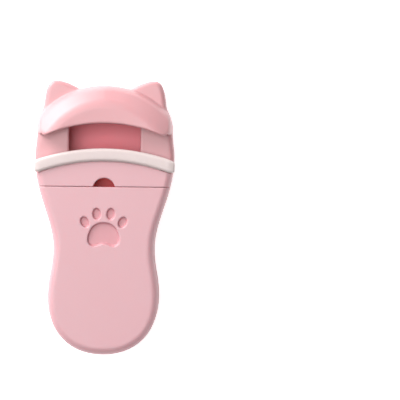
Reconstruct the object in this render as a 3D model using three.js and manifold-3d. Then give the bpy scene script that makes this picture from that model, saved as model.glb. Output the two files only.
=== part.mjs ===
// Cat-eared pocket eyelash curler, lying on its back: +X to its left ear's far side, +Y towards the
// ears, +Z out of its front. Millimetres. The front lever swings on two stub pins; a cam slot in the
// lever's frame drives a pin on the carriage, which lifts the padded jaw up to the hood.
import * as THREE from "three";
import { mergeVertices } from "three/addons/utils/BufferGeometryUtils.js";
import Module from "manifold-3d";

// ---- Driving dimensions -------------------------------------------------------------------------
// Y places of the head are drops from the ears' tips, and those of the handle rises from its end.
const LENGTH = 86.6; // ears to the end of the handle
const HEAD_HALF = 22.0; // half of the widest place, at the pad
const NECK_HALF = 15.9;
const BULGE_HALF = 17.5;
const CHEEK_INSET = 0.6; // the head above the pad is this much narrower on each side
const HEAD_WIDE_DROP = 24.3; // to where the body is widest
const NECK_RISE = 33.8;
const BULGE_RISE = 18.1;
const EAR_TIP_INSET = 6.4; // from the head's side to the ear's tip
const EAR_WIDTH = 7.4; // from the ear's tip in to its foot on the crown

const BACK_DEPTH = 5.0; // back shell, from the flat back
const CHEEK_Z = 22.0; // recessed front of the head
const FRONT_Z = 25.0; // front of the lever and of the moving jaw
const PAD_Z = 26.0; // front of the silicone pad
const HOOD_Z = 28.5; // front of the hood
const LIP = 2.1; // thickness of the hood's front lip
const HOOD_CROWN_DROP = 1.6;
const HOOD_SPREAD = 6.4; // the hood's outer arc has this much more radius than the cheeks' half width
const HOOD_EDGE_DROP = 13.6; // to the hood's lower edge, on the middle line
const HOOD_EDGE_RADIUS = 46.4;
const HOOD_BEVEL = 4.6;
const HOOD_CORNER = 3.2;
const HOOD_DROP = 3.9; // from the middle of the lower edge to the hood's lowest corners

const WALL = 1.8;
const CHEEK_WALL = 2.0;
const FLOOR = 1.8; // flat back's thickness
const FRONT_EDGE = 1.8; // rounding of the lever's and jaw's front edge
const HEAD_EDGE = 1.2;
const GAP = 0.3; // between pieces that touch
const PIN_CLEARANCE = 0.15;
const PRESS_GAP = 0.1; // round a pin that is pressed in
const PIN_SEAT = 2.6; // of each pivot pin in its boss
const BITE = 0.2; // how far joined solids reach into each other
const PARTING = 0.3; // seam between the moving jaw and the lever

const PAD_DROP = 21.5; // to the top of the pad, on the middle line, with the jaws open
const PAD_RADIUS = 64.5; // curve of the pad's top, as an upper lash line
const PAD_HEIGHT = 4.0;
const PAD_PROUD = 0.2; // how far the pad stands out at each side
const PAD_TONGUE = 1.0;
const SEAM_DROP = 33.6; // to the middle of the seam between the jaw and the lever
const WINDOW_HALF = 11.3; // half of the window between the cheeks
const NOTCH_RADIUS = 3.5;
const NOTCH_HEIGHT = 2.6;

const TRAVEL = 7.65; // of the padded jaw
const SWING = 0.3; // of the lever, radians
const PIVOT_BELOW_SEAM = 3.2;
const PIVOT_Z = 14.6;
const PIVOT_RADIUS = 1.25;
const LUG_RADIUS = 3.2;
const LUG_SPACE = 0.6; // between the carriage's flange and each pivot lug
const LUG_THICK = 2.0;
const LEVER_RIM = 7.0; // depth of the lever's side wall at the seam
const LEVER_RIM_END = 4.0; // and at the end of the handle
const DRIVE_ARM = 27.0; // from the pivot down to the drive pin, with the jaws open
const DRIVE_Z = 14.0;
const DRIVE_RADIUS = 1.0;
const CAM_THICK = 1.4;
const CAM_RIM = 1.3; // of plate outside the slot
const FRAME_THICK = 1.2;
const BOSS_HEIGHT = 1.5; // of the lever's screw bosses
const LEVER_BOSS_RADIUS = 1.9;
const HEAD_BOSS_RADIUS = 2.4; // of the front shell's bosses for pivots and case screws
const BACK_BOSS_RADIUS = 3.4;
const RIB_THICK = 1.2; // rails and ribs of the back shell
const LEAN_REACH = 11; // from the pivot down to the heel of the head's leaning lower end
const CARD = { half: 13.2, thick: 1.4 }; // bridge-shaped card behind the window

const FLANGE_GRIP = 1.7; // how far each carriage flange reaches behind its cheek
const FLANGE_THICK = 2.4;
const STRUT_HALF = 5.5;
const STRUT_THICK = 2.8;
const RING_THICK = 0.6;
const RING_RADIUS = 2.0;

const CASE_SCREW = { shank: 1.1, head: 2.2, headThick: 1.3, reach: 9 };
const SMALL_SCREW = { shank: 0.8, head: 1.6, headThick: 0.9, reach: 5.5 };
const SPRING = { radius: 2.2, wire: 0.35, turns: 4, pitch: 0.8, steps: 9 };

const CROSS = { share: 0.6, half: 0.25, depth: 0.5 }; // screw recess, as shares of the head but for half

const PAW = { belowSeam: 13.9, depth: 0.7 };

// ---- Materials ----------------------------------------------------------------------------------
const gloss = (color, roughness) => new THREE.MeshStandardMaterial({ color, roughness, metalness: 0 });
const shellPink = gloss("#eec2c5", 0.42);
const leverPink = gloss("#eabcc0", 0.45);
const carriageRed = gloss("#b5283a", 0.5);
const cardRose = gloss("#d9707c", 0.5);
const silicone = gloss("#efe6e4", 0.6);
const acetal = gloss("#f2dede", 0.4);
const steel = new THREE.MeshStandardMaterial({ color: "#b9bcc0", roughness: 0.3, metalness: 1 });

// ---- Solids: closed three.js geometry turned into manifold solids, and back ----------------------
const wasm = await Module();
wasm.setup();

function solid(geometry) {
  const bare = geometry.clone();
  bare.deleteAttribute("normal");
  bare.deleteAttribute("uv");
  const merged = mergeVertices(bare, 1e-4);
  return new wasm.Manifold(
    new wasm.Mesh({
      numProp: 3,
      vertProperties: new Float32Array(merged.attributes.position.array),
      triVerts: new Uint32Array(merged.index.array),
    }),
  );
}

function join(...solids) {
  return solids.reduce((all, next) => all.add(next));
}

function cut(from, ...tools) {
  return tools.reduce((left, tool) => left.subtract(tool), from);
}

function box(x0, x1, y0, y1, z0, z1) {
  const g = new THREE.BoxGeometry(x1 - x0, y1 - y0, z1 - z0);
  return solid(g.translate((x0 + x1) / 2, (y0 + y1) / 2, (z0 + z1) / 2));
}

// A box across the middle line.
function middleBox(half, y0, y1, z0, z1) {
  return box(-half, half, y0, y1, z0, z1);
}

function postAlongZ(x, y, radius, z0, z1, sides = 20) {
  const g = new THREE.CylinderGeometry(radius, radius, z1 - z0, sides).rotateX(Math.PI / 2);
  return solid(g.translate(x, y, (z0 + z1) / 2));
}

function postAlongX(y, z, radius, x0, x1, sides = 24) {
  const g = new THREE.CylinderGeometry(radius, radius, x1 - x0, sides).rotateZ(Math.PI / 2);
  return solid(g.translate((x0 + x1) / 2, y, z));
}

// The same outline without doubled points where its curves meet, or points along its straight edges.
function cleanOutline(shape, curveSegments) {
  const points = shape.extractPoints(curveSegments).shape;
  const apart = points.filter((p, i) => p.distanceTo(points[(i + 1) % points.length]) > 1e-3);
  const count = apart.length;
  const kept = apart.filter((p, i) => {
    const before = p.clone().sub(apart[(i + count - 1) % count]);
    const after = apart[(i + 1) % count].clone().sub(p);
    return Math.abs(before.cross(after)) > 1e-6;
  });
  return new THREE.Shape(kept);
}

function slab(shape, z0, z1, curveSegments = 10) {
  const outline = cleanOutline(shape, curveSegments);
  const g = new THREE.ExtrudeGeometry(outline, { depth: z1 - z0, bevelEnabled: false });
  return solid(g.translate(0, 0, z0));
}

// A slab whose front edge is rounded inwards by edge. The rounding at its back is cut off square.
function roundedSlab(shape, z0, z1, edge, curveSegments = 10, bevelSegments = 3) {
  const spare = 1;
  const g = new THREE.ExtrudeGeometry(cleanOutline(shape, curveSegments), {
    depth: z1 - edge - z0 + spare,
    bevelThickness: edge,
    bevelSize: edge,
    bevelOffset: -edge,
    bevelSegments,
  });
  const far = LENGTH;
  return solid(g.translate(0, 0, z0 - spare)).intersect(box(-far, far, -far, far, z0, z1 + spare));
}

// A profile drawn in Y and Z, pulled along X.
function sideSlab(points, x0, x1) {
  const shape = new THREE.Shape(points.map(([y, z]) => new THREE.Vector2(y, z)));
  const g = new THREE.ExtrudeGeometry(shape, { depth: x1 - x0, bevelEnabled: false });
  const turn = new THREE.Matrix4().makeBasis(
    new THREE.Vector3(0, 1, 0),
    new THREE.Vector3(0, 0, 1),
    new THREE.Vector3(1, 0, 0),
  );
  return solid(g.applyMatrix4(turn).translate(x0, 0, 0));
}

function sided(name, side) {
  return `${name}_${side < 0 ? "left" : "right"}`;
}

// ---- Outlines -----------------------------------------------------------------------------------
const END_Y = -LENGTH / 2;
const EAR_Y = LENGTH / 2;
const HEAD_WIDE_Y = EAR_Y - HEAD_WIDE_DROP;
const NECK_Y = END_Y + NECK_RISE;
const BULGE_Y = END_Y + BULGE_RISE;
const CHEEK_HALF = HEAD_HALF - CHEEK_INSET;
const EAR_TIP_X = HEAD_HALF - EAR_TIP_INSET;
const EAR_FOOT_X = EAR_TIP_X - EAR_WIDTH;
const HOOD_CROWN_Y = EAR_Y - HOOD_CROWN_DROP;
const HOOD_RADIUS = CHEEK_HALF + HOOD_SPREAD;
const HOOD_EDGE_Y = EAR_Y - HOOD_EDGE_DROP;
const EAR_SIDE = { x: CHEEK_HALF - 2.2, y: EAR_Y - 7.1 }; // where the ear's outer edge starts to lean in
const EAR_FOOT_Y = EAR_Y - 2.55;

// The body's right half from the end of the handle up to the widest place, drawn into shape.
function drawRightSide(shape, inset) {
  const head = HEAD_HALF - inset;
  const neck = NECK_HALF - inset;
  const bulge = BULGE_HALF - inset;
  const end = END_Y + inset;
  const drop = BULGE_Y - end;
  shape.moveTo(0, end);
  shape.bezierCurveTo(bulge * 0.62, end, bulge, BULGE_Y - drop * 0.6, bulge, BULGE_Y);
  shape.bezierCurveTo(bulge, BULGE_Y + 7, neck, NECK_Y - 7, neck, NECK_Y);
  shape.bezierCurveTo(neck, NECK_Y + 8.6, head, HEAD_WIDE_Y - 11.6, head, HEAD_WIDE_Y);
}

function drawLeftSide(shape, inset) {
  const head = HEAD_HALF - inset;
  const neck = NECK_HALF - inset;
  const bulge = BULGE_HALF - inset;
  const end = END_Y + inset;
  const drop = BULGE_Y - end;
  shape.bezierCurveTo(-head, HEAD_WIDE_Y - 11.6, -neck, NECK_Y + 8.6, -neck, NECK_Y);
  shape.bezierCurveTo(-neck, NECK_Y - 7, -bulge, BULGE_Y + 7, -bulge, BULGE_Y);
  shape.bezierCurveTo(-bulge, BULGE_Y - drop * 0.6, -bulge * 0.62, end, 0, end);
}

// Handle, neck and head sides up to the widest place, closed straight across.
function bodyOutline(inset) {
  const shape = new THREE.Shape();
  drawRightSide(shape, inset);
  shape.lineTo(-(HEAD_HALF - inset), HEAD_WIDE_Y);
  drawLeftSide(shape, inset);
  return shape;
}

// The whole silhouette with both ears.
function wholeOutline(inset) {
  const head = HEAD_HALF - inset;
  const cheek = CHEEK_HALF - inset;
  const side = EAR_SIDE.x - inset;
  const tip = EAR_Y - inset;
  const foot = EAR_FOOT_Y - inset;
  const shape = new THREE.Shape();
  drawRightSide(shape, inset);
  shape.bezierCurveTo(head, HEAD_WIDE_Y + 4, cheek, HEAD_WIDE_Y + 4, cheek, HEAD_WIDE_Y + 9);
  shape.bezierCurveTo(cheek, EAR_SIDE.y - 4, side + 0.4, EAR_SIDE.y - 3, side, EAR_SIDE.y);
  shape.bezierCurveTo(side - 0.3, EAR_SIDE.y + 2.8, side - 0.6, tip, EAR_TIP_X, tip);
  shape.bezierCurveTo(EAR_TIP_X - 2.4, tip, EAR_FOOT_X + 2.6, foot + 1.4, EAR_FOOT_X, foot);
  shape.lineTo(-EAR_FOOT_X, foot);
  shape.bezierCurveTo(-EAR_FOOT_X - 2.6, foot + 1.4, -EAR_TIP_X + 2.4, tip, -EAR_TIP_X, tip);
  shape.bezierCurveTo(-side + 0.6, tip, -side + 0.3, EAR_SIDE.y + 2.8, -side, EAR_SIDE.y);
  shape.bezierCurveTo(-side - 0.4, EAR_SIDE.y - 3, -cheek, EAR_SIDE.y - 4, -cheek, HEAD_WIDE_Y + 9);
  shape.bezierCurveTo(-cheek, HEAD_WIDE_Y + 4, -head, HEAD_WIDE_Y + 4, -head, HEAD_WIDE_Y);
  drawLeftSide(shape, inset);
  return shape;
}

// Everything below an arc whose highest point is (0, top), down to floorY.
function belowArc(top, radius, half, floorY) {
  const angle = Math.asin(half / radius);
  const shape = new THREE.Shape();
  shape.moveTo(-half, floorY);
  shape.lineTo(half, floorY);
  shape.absarc(0, top - radius, radius, Math.PI / 2 - angle, Math.PI / 2 + angle, false);
  return shape;
}

// The hood's outer outline: the crown's arc, straight ends and round lower corners.
function hoodOutline() {
  const centreY = HOOD_CROWN_Y - HOOD_RADIUS;
  const half = CHEEK_HALF - GAP;
  const lowY = HOOD_EDGE_Y - HOOD_DROP;
  const corner = HOOD_CORNER;
  const angle = Math.acos(half / HOOD_RADIUS);
  const shape = new THREE.Shape();
  shape.moveTo(-half + corner, lowY);
  shape.lineTo(half - corner, lowY);
  shape.bezierCurveTo(half - corner * 0.4, lowY, half, lowY + corner * 0.3, half, lowY + corner);
  shape.absarc(0, centreY, HOOD_RADIUS, angle, Math.PI - angle, false);
  shape.lineTo(-half, lowY + corner);
  shape.bezierCurveTo(-half, lowY + corner * 0.3, -half + corner * 0.4, lowY, -half + corner, lowY);
  return shape;
}

// A disc round the crown's centre whose front edge is rounded: the crown is a piece of it.
function roundedCrown() {
  const backZ = CHEEK_Z - CHEEK_WALL;
  const profile = [new THREE.Vector2(0, backZ), new THREE.Vector2(HOOD_RADIUS, backZ)];
  const steps = 6;
  for (let i = 0; i <= steps; i++) {
    const a = (Math.PI / 2) * (i / steps);
    const r = HOOD_RADIUS - HOOD_BEVEL * (1 - Math.cos(a));
    profile.push(new THREE.Vector2(r, HOOD_Z - HOOD_BEVEL * (1 - Math.sin(a))));
  }
  profile.push(new THREE.Vector2(0, HOOD_Z));
  const g = new THREE.LatheGeometry(profile, 72).rotateX(Math.PI / 2);
  return solid(g.translate(0, HOOD_CROWN_Y - HOOD_RADIUS, 0));
}

// ---- Places worked out from the driving dimensions ------------------------------------------------
const FAR = LENGTH; // longer than any piece, for cutting blocks
const SPLIT_Z = BACK_DEPTH + GAP; // back edge of the front shell
const PAD_Y = EAR_Y - PAD_DROP;
const PAD_HALF = HEAD_HALF + PAD_PROUD;
const SEAM_Y = EAR_Y - SEAM_DROP;
const PIVOT_Y = SEAM_Y - PIVOT_BELOW_SEAM;
const DRIVE_Y = PIVOT_Y - DRIVE_ARM;
const FLANGE_HALF = WINDOW_HALF + FLANGE_GRIP;
const LUG_X = FLANGE_HALF + LUG_SPACE; // inner face of each pivot lug
const CAM_X = STRUT_HALF + RING_THICK + 3.7 * GAP; // inner face of each cam plate, clear of the rings
const CAVITY_TOP_Y = HOOD_EDGE_Y + 1.0; // of the chamber behind the window
const LIP_BACK_Z = HOOD_Z - LIP;
const LEDGE_Y = PAD_Y + TRAVEL + 0.1; // the pad stops just short of the ledge
const NOTCH_Y = SEAM_Y + PARTING / 2 + NOTCH_HEIGHT - NOTCH_RADIUS; // centre of the finger notch
const JAW_BACK_Z = CHEEK_Z + GAP;
const JAW_LOW_Y = SEAM_Y + PARTING / 2;
const LEVER_TOP_Y = SEAM_Y - PARTING / 2;
const LEVER_BACK_Z = FRONT_Z - LEVER_RIM;
const LEVER_SKIN_Z = FRONT_Z - WALL; // inner face of the lever's front
const FRAME_TOP_Z = LEVER_SKIN_Z - BOSS_HEIGHT - GAP;
const FRAME_BACK_Z = FRAME_TOP_Z - FRAME_THICK;
const FLANGE_TOP_Z = CHEEK_Z - CHEEK_WALL - GAP;
const FLANGE_BACK_Z = FLANGE_TOP_Z - FLANGE_THICK;
const CARRIAGE_LOW_Y = JAW_LOW_Y + 0.3;
const CARRIAGE_TOP_Y = PAD_Y - 1.4;
const STRUT_TOP_Z = DRIVE_Z + STRUT_THICK / 2;
const STRUT_BACK_Z = DRIVE_Z - STRUT_THICK / 2;
const STRUT_END_Y = DRIVE_Y - DRIVE_RADIUS - 1.4;
const RISE_PER_RADIAN = TRAVEL / SWING;
const LEDGE_RADIUS = PAD_RADIUS;

const CASE_SCREWS = [
  { name: "case_screw_1", x: -(CHEEK_HALF - 6.8), y: EAR_Y - 8.3 },
  { name: "case_screw_2", x: CHEEK_HALF - 6.8, y: EAR_Y - 8.3 },
  { name: "case_screw_3", x: -(CHEEK_HALF - 4.8), y: HEAD_WIDE_Y - 4 },
  { name: "case_screw_4", x: CHEEK_HALF - 4.8, y: HEAD_WIDE_Y - 4 },
];
const LEVER_SCREWS = [
  { name: "lever_screw_1", x: -(CAM_X + 3.8), y: PIVOT_Y - 7.5 },
  { name: "lever_screw_2", x: CAM_X + 3.8, y: PIVOT_Y - 7.5 },
  { name: "lever_screw_3", x: -(CAM_X + 3.8), y: DRIVE_Y + 1.5 },
  { name: "lever_screw_4", x: CAM_X + 3.8, y: DRIVE_Y + 1.5 },
];
const CARRIAGE_SCREW_X = 8.4;
const CARRIAGE_SCREW_Y = CARRIAGE_LOW_Y + 3.4;
const FRAME_LOW_Y = LEVER_SCREWS[2].y - 2.6;

// The two ends of a stretch on either side of the middle line, low first.
function onSide(side, near, far) {
  return side < 0 ? [-far, -near] : [near, far];
}

// ---- Head -----------------------------------------------------------------------------------------
function makeFrontShell() {
  const innerZ = CHEEK_Z - CHEEK_WALL;
  const outer = roundedSlab(wholeOutline(0), SPLIT_Z, CHEEK_Z, HEAD_EDGE);
  const inner = slab(wholeOutline(WALL), 0, innerZ);
  const ledgeLine = belowArc(LEDGE_Y, LEDGE_RADIUS, FAR / 2, -FAR);
  const lipLine = belowArc(HOOD_EDGE_Y, HOOD_EDGE_RADIUS, HOOD_EDGE_RADIUS - 1, -FAR);
  const hoodBlock = roundedCrown().intersect(slab(hoodOutline(), 0, FAR));
  const hood = cut(hoodBlock, slab(ledgeLine, 0, LIP_BACK_Z, 24), slab(lipLine, LIP_BACK_Z, FAR, 24));
  let head = cut(outer, inner.intersect(middleBox(FAR, -FAR, CAVITY_TOP_Y, 0, FAR)));
  head = cut(head, middleBox(WINDOW_HALF, -FAR, CAVITY_TOP_Y, 0, CHEEK_Z + GAP));
  head = join(head, hood);
  const withinWalls = slab(wholeOutline(GAP), 0, FAR);
  const bossStart = LUG_X + LUG_THICK + GAP;
  for (const side of [-1, 1]) {
    const stretch = onSide(side, bossStart, CHEEK_HALF - WALL - 2 * GAP);
    head = join(head, postAlongX(PIVOT_Y, PIVOT_Z, HEAD_BOSS_RADIUS, ...stretch).intersect(withinWalls));
  }
  for (const { x, y } of CASE_SCREWS) {
    head = join(head, postAlongZ(x, y, HEAD_BOSS_RADIUS, SPLIT_Z, innerZ + BITE).intersect(withinWalls));
  }
  const screwHole = CASE_SCREW.shank + PIN_CLEARANCE;
  for (const { x, y } of CASE_SCREWS) {
    head = cut(head, postAlongZ(x, y, screwHole, 0, SPLIT_Z + CASE_SCREW.reach));
  }
  // The lower end of the head leans back under the lever, so that the lever can swing.
  const shelfZ = LEVER_BACK_Z - 2 * GAP;
  const shelfY = LEVER_TOP_Y + GAP;
  const heel = [PIVOT_Y - LEAN_REACH, SPLIT_Z - 1];
  const knee = [PIVOT_Y - 1.6, shelfZ];
  const lean = [[-FAR, heel[1]], heel, knee, [shelfY, shelfZ], [shelfY, FAR], [-FAR, FAR]];
  head = cut(head, sideSlab(lean, -FAR, FAR));
  for (const side of [-1, 1]) {
    const stretch = onSide(side, LUG_X, bossStart + PIN_SEAT + 0.2);
    head = cut(head, postAlongX(PIVOT_Y, PIVOT_Z, PIVOT_RADIUS + PIN_CLEARANCE, ...stretch));
  }
  return head;
}

function makeBackShell() {
  const ribLow = FLOOR - BITE;
  const ribTop = BACK_DEPTH - 0.4;
  const rail = STRUT_HALF + GAP;
  const ribY = STRUT_END_Y - 8;
  let shell = cut(slab(wholeOutline(0), 0, BACK_DEPTH), slab(wholeOutline(CHEEK_WALL), FLOOR, FAR));
  // Two rails that guide the carriage's strut in the head, and ribs that stiffen the handle.
  for (const side of [-1, 1]) {
    const x = onSide(side, rail, rail + RIB_THICK);
    shell = join(shell, box(...x, PIVOT_Y - 2, HEAD_WIDE_Y, ribLow, STRUT_TOP_Z));
    shell = join(shell, box(...x, ribY - 6, ribY + 2, ribLow, ribTop));
  }
  const half = BULGE_HALF - WALL;
  shell = join(shell, middleBox(half, ribY - RIB_THICK / 2, ribY + RIB_THICK / 2, ribLow, ribTop));
  const withinWalls = slab(wholeOutline(0), 0, FAR);
  for (const { x, y } of CASE_SCREWS) {
    shell = join(shell, postAlongZ(x, y, BACK_BOSS_RADIUS, ribLow, BACK_DEPTH).intersect(withinWalls));
  }
  const sunk = CASE_SCREW.headThick + 2 * GAP;
  for (const { x, y } of CASE_SCREWS) {
    shell = cut(shell, postAlongZ(x, y, CASE_SCREW.shank + PIN_CLEARANCE, -1, FAR));
    shell = cut(shell, postAlongZ(x, y, CASE_SCREW.head + PIN_CLEARANCE, -1, sunk));
  }
  return shell;
}

// A card on two legs that closes the view into the case behind the window. The strut passes in front.
function makeWindowCard() {
  const [low, high] = [HEAD_WIDE_Y + 2 * GAP, CAVITY_TOP_Y - GAP];
  const top = STRUT_BACK_Z - GAP;
  const bridge = middleBox(CARD.half, low, high, FLOOR + GAP, top);
  return cut(bridge, middleBox(CARD.half - CARD.thick, low - 1, high + 1, 0, top - CARD.thick));
}

// A screw whose head lies at the low end of its shank.
function makeScrew({ shank, head, headThick, reach }, x, y, headZ) {
  const top = postAlongZ(x, y, head, headZ, headZ + headThick, 20);
  const body = postAlongZ(x, y, shank, headZ + headThick - BITE, headZ + headThick + reach, 14);
  const long = head * CROSS.share;
  const depth = headZ + headThick * CROSS.depth;
  const cross = join(
    box(x - long, x + long, y - CROSS.half, y + CROSS.half, headZ - 1, depth),
    box(x - CROSS.half, x + CROSS.half, y - long, y + long, headZ - 1, depth),
  );
  return cut(join(top, body), cross);
}

// ---- Lever ----------------------------------------------------------------------------------------
function ellipse(x, y, rx, ry, turn) {
  const shape = new THREE.Shape();
  shape.absellipse(x, y, rx, ry, 0, 2 * Math.PI, false, turn);
  return shape;
}

function pawShapes() {
  const y = SEAM_Y - PAW.belowSeam;
  const pad = new THREE.Shape();
  pad.moveTo(0, y + 2.6);
  pad.bezierCurveTo(2.4, y + 2.6, 3.9, y + 1.3, 4.6, y - 0.7);
  pad.bezierCurveTo(5.5, y - 2.8, 4.9, y - 4.9, 3.1, y - 4.9);
  pad.bezierCurveTo(1.9, y - 4.9, 1.2, y - 4.1, 0, y - 4.1);
  pad.bezierCurveTo(-1.2, y - 4.1, -1.9, y - 4.9, -3.1, y - 4.9);
  pad.bezierCurveTo(-4.9, y - 4.9, -5.5, y - 2.8, -4.6, y - 0.7);
  pad.bezierCurveTo(-3.9, y + 1.3, -2.4, y + 2.6, 0, y + 2.6);
  const toes = [-1, 1].flatMap((side) => [
    ellipse(side * 2.2, y + 5.3, 1.25, 1.8, side * -0.12),
    ellipse(side * 5.95, y + 2.7, 1.25, 1.75, side * -0.45),
  ]);
  return [pad, ...toes];
}

function makePressLever() {
  const keep = middleBox(FAR, -FAR, LEVER_TOP_Y, 0, FAR);
  const outer = roundedSlab(bodyOutline(0), LEVER_BACK_Z, FRONT_Z, FRONT_EDGE, 10, 4).intersect(keep);
  const belowTopWall = middleBox(FAR, -FAR, LEVER_TOP_Y - WALL, 0, FAR);
  let lever = cut(outer, slab(bodyOutline(WALL), 0, LEVER_SKIN_Z).intersect(belowTopWall));
  // The rim gets shallower towards the end of the handle.
  const endBack = FRONT_Z - LEVER_RIM_END;
  const wedge = [[NECK_Y, LEVER_BACK_Z], [END_Y - 1, endBack], [END_Y - 1, 0], [NECK_Y, 0]];
  lever = cut(lever, sideSlab(wedge, -FAR, FAR));
  // Room behind the top wall for the pivot lugs.
  const lugRoom = LUG_X + LUG_THICK + GAP;
  lever = cut(lever, middleBox(lugRoom, LEVER_TOP_Y - WALL - 1, FAR, 0, PIVOT_Z + LUG_RADIUS + GAP));
  for (const { x, y } of LEVER_SCREWS) {
    lever = join(lever, postAlongZ(x, y, LEVER_BOSS_RADIUS, LEVER_SKIN_Z - BOSS_HEIGHT, LEVER_SKIN_Z + BITE));
  }
  for (const { x, y } of LEVER_SCREWS) {
    lever = cut(lever, postAlongZ(x, y, SMALL_SCREW.shank + PIN_CLEARANCE, 0, LEVER_SKIN_Z + 0.7));
  }
  for (const shape of pawShapes()) {
    lever = cut(lever, slab(shape, FRONT_Z - PAW.depth, FAR, 6));
  }
  return lever;
}

// The path of the drive pin as the lever sees it, from open to closed, which makes the cam slot.
function camPoint(angle) {
  const y = DRIVE_Y - PIVOT_Y + RISE_PER_RADIAN * angle;
  const z = DRIVE_Z - PIVOT_Z;
  const [c, s] = [Math.cos(angle), Math.sin(angle)];
  return new THREE.Vector2(PIVOT_Y + y * c + z * s, PIVOT_Z - y * s + z * c);
}

// A round-ended strip of the given half width along the cam path, pulled along X.
function camStrip(half, x0, x1) {
  const steps = 10;
  const over = 0.03; // a little past each end, radians
  const path = [];
  for (let i = 0; i <= steps; i++) path.push(camPoint(-over + ((SWING + 2 * over) * i) / steps));
  const normals = path.map((p, i) => {
    const along = path[Math.min(i + 1, steps)].clone().sub(path[Math.max(i - 1, 0)]).normalize();
    return new THREE.Vector2(-along.y, along.x);
  });
  const leftSide = path.map((p, i) => p.clone().addScaledVector(normals[i], half));
  const rightSide = path.map((p, i) => p.clone().addScaledVector(normals[i], -half));
  const cap = (p, normal, turn) => {
    const points = [];
    for (let i = 1; i < 8; i++) {
      const a = (turn * Math.PI * i) / 8;
      points.push(normal.clone().multiplyScalar(half).rotateAround(new THREE.Vector2(), a).add(p));
    }
    return points;
  };
  const endCap = cap(path[steps], normals[steps], -1);
  const startCap = cap(path[0], normals[0].clone().negate(), -1);
  const loop = [...leftSide, ...endCap, ...rightSide.reverse(), ...startCap];
  return sideSlab(loop.reverse().map((p) => [p.x, p.y]), x0, x1);
}

function makeLeverFrame() {
  const slot = DRIVE_RADIUS + PIN_CLEARANCE;
  const half = LUG_X + LUG_THICK;
  const top = PIVOT_Y + 0.8;
  // A flat plate with a middle opening for the strut, pivot lugs at its top and cam plates inboard.
  let frame = middleBox(half - 2.2, FRAME_LOW_Y, top, FRAME_BACK_Z, FRAME_TOP_Z);
  frame = join(frame, middleBox(half, PIVOT_Y - 3, top, FRAME_BACK_Z, FRAME_TOP_Z));
  frame = cut(frame, middleBox(CAM_X, FRAME_LOW_Y - 1, top - 2.0, 0, FAR));
  for (const side of [-1, 1]) {
    const lug = onSide(side, LUG_X, half);
    const cam = onSide(side, CAM_X, CAM_X + CAM_THICK);
    const web = [
      [DRIVE_Y - 0.5, FRAME_BACK_Z + BITE],
      [camPoint(0).x, camPoint(0).y],
      [camPoint(SWING).x, camPoint(SWING).y],
      [PIVOT_Y - 10.5, FRAME_BACK_Z + BITE],
    ];
    frame = join(
      frame,
      postAlongX(PIVOT_Y, PIVOT_Z, LUG_RADIUS, ...lug),
      box(...lug, PIVOT_Y - 2.8, top, PIVOT_Z, FRAME_TOP_Z),
      camStrip(slot + CAM_RIM, ...cam),
      sideSlab(web, ...cam),
    );
    const bore = postAlongX(PIVOT_Y, PIVOT_Z, PIVOT_RADIUS + PIN_CLEARANCE, ...lug);
    frame = cut(frame, camStrip(slot, ...cam), bore);
  }
  for (const { x, y } of LEVER_SCREWS) {
    frame = cut(frame, postAlongZ(x, y, SMALL_SCREW.shank + PIN_CLEARANCE, 0, FAR));
  }
  return frame;
}

// ---- Moving jaw -----------------------------------------------------------------------------------
function makeSliderPlate() {
  const padLow = PAD_Y - PAD_HEIGHT;
  const topArc = belowArc(padLow - GAP, PAD_RADIUS - PAD_HEIGHT - GAP, HEAD_HALF + 1, JAW_LOW_Y);
  const whole = roundedSlab(wholeOutline(0), JAW_BACK_Z, FRONT_Z, FRONT_EDGE, 10, 4);
  let plate = whole.intersect(slab(topArc, 0, FAR, 24));
  const tongueArc = padLow - PAD_TONGUE - GAP;
  const groove = cut(
    middleBox(PAD_HALF - 4, 0, FAR, JAW_BACK_Z + 0.7, FRONT_Z - 0.7),
    slab(belowArc(tongueArc, PAD_RADIUS - PAD_HEIGHT, FAR / 2, -FAR), 0, FAR, 24),
  );
  const notch = postAlongZ(0, NOTCH_Y, NOTCH_RADIUS, 0, FAR, 28);
  plate = cut(plate, groove, notch);
  for (const side of [-1, 1]) {
    const x = side * CARRIAGE_SCREW_X;
    plate = cut(plate, postAlongZ(x, CARRIAGE_SCREW_Y, SMALL_SCREW.shank + PIN_CLEARANCE, 0, FRONT_Z - 0.9));
  }
  return plate;
}

function makeCarriage() {
  const [low, top] = [CARRIAGE_LOW_Y, CARRIAGE_TOP_Y];
  let carriage = join(
    middleBox(WINDOW_HALF - GAP, low, top, FLANGE_TOP_Z - BITE, JAW_BACK_Z - GAP),
    middleBox(FLANGE_HALF, low, top, FLANGE_BACK_Z, FLANGE_TOP_Z),
    middleBox(STRUT_HALF, low, top, STRUT_BACK_Z, FLANGE_BACK_Z + BITE),
    middleBox(STRUT_HALF, STRUT_END_Y, top, STRUT_BACK_Z, STRUT_TOP_Z),
  );
  const notch = postAlongZ(0, NOTCH_Y, NOTCH_RADIUS + GAP, STRUT_TOP_Z, FAR, 28);
  carriage = cut(carriage, notch, postAlongX(DRIVE_Y, DRIVE_Z, DRIVE_RADIUS + PRESS_GAP, -FAR, FAR));
  for (const side of [-1, 1]) {
    const x = side * CARRIAGE_SCREW_X;
    carriage = cut(carriage, postAlongZ(x, CARRIAGE_SCREW_Y, SMALL_SCREW.shank + PIN_CLEARANCE, 0, FAR));
  }
  return carriage;
}

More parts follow.
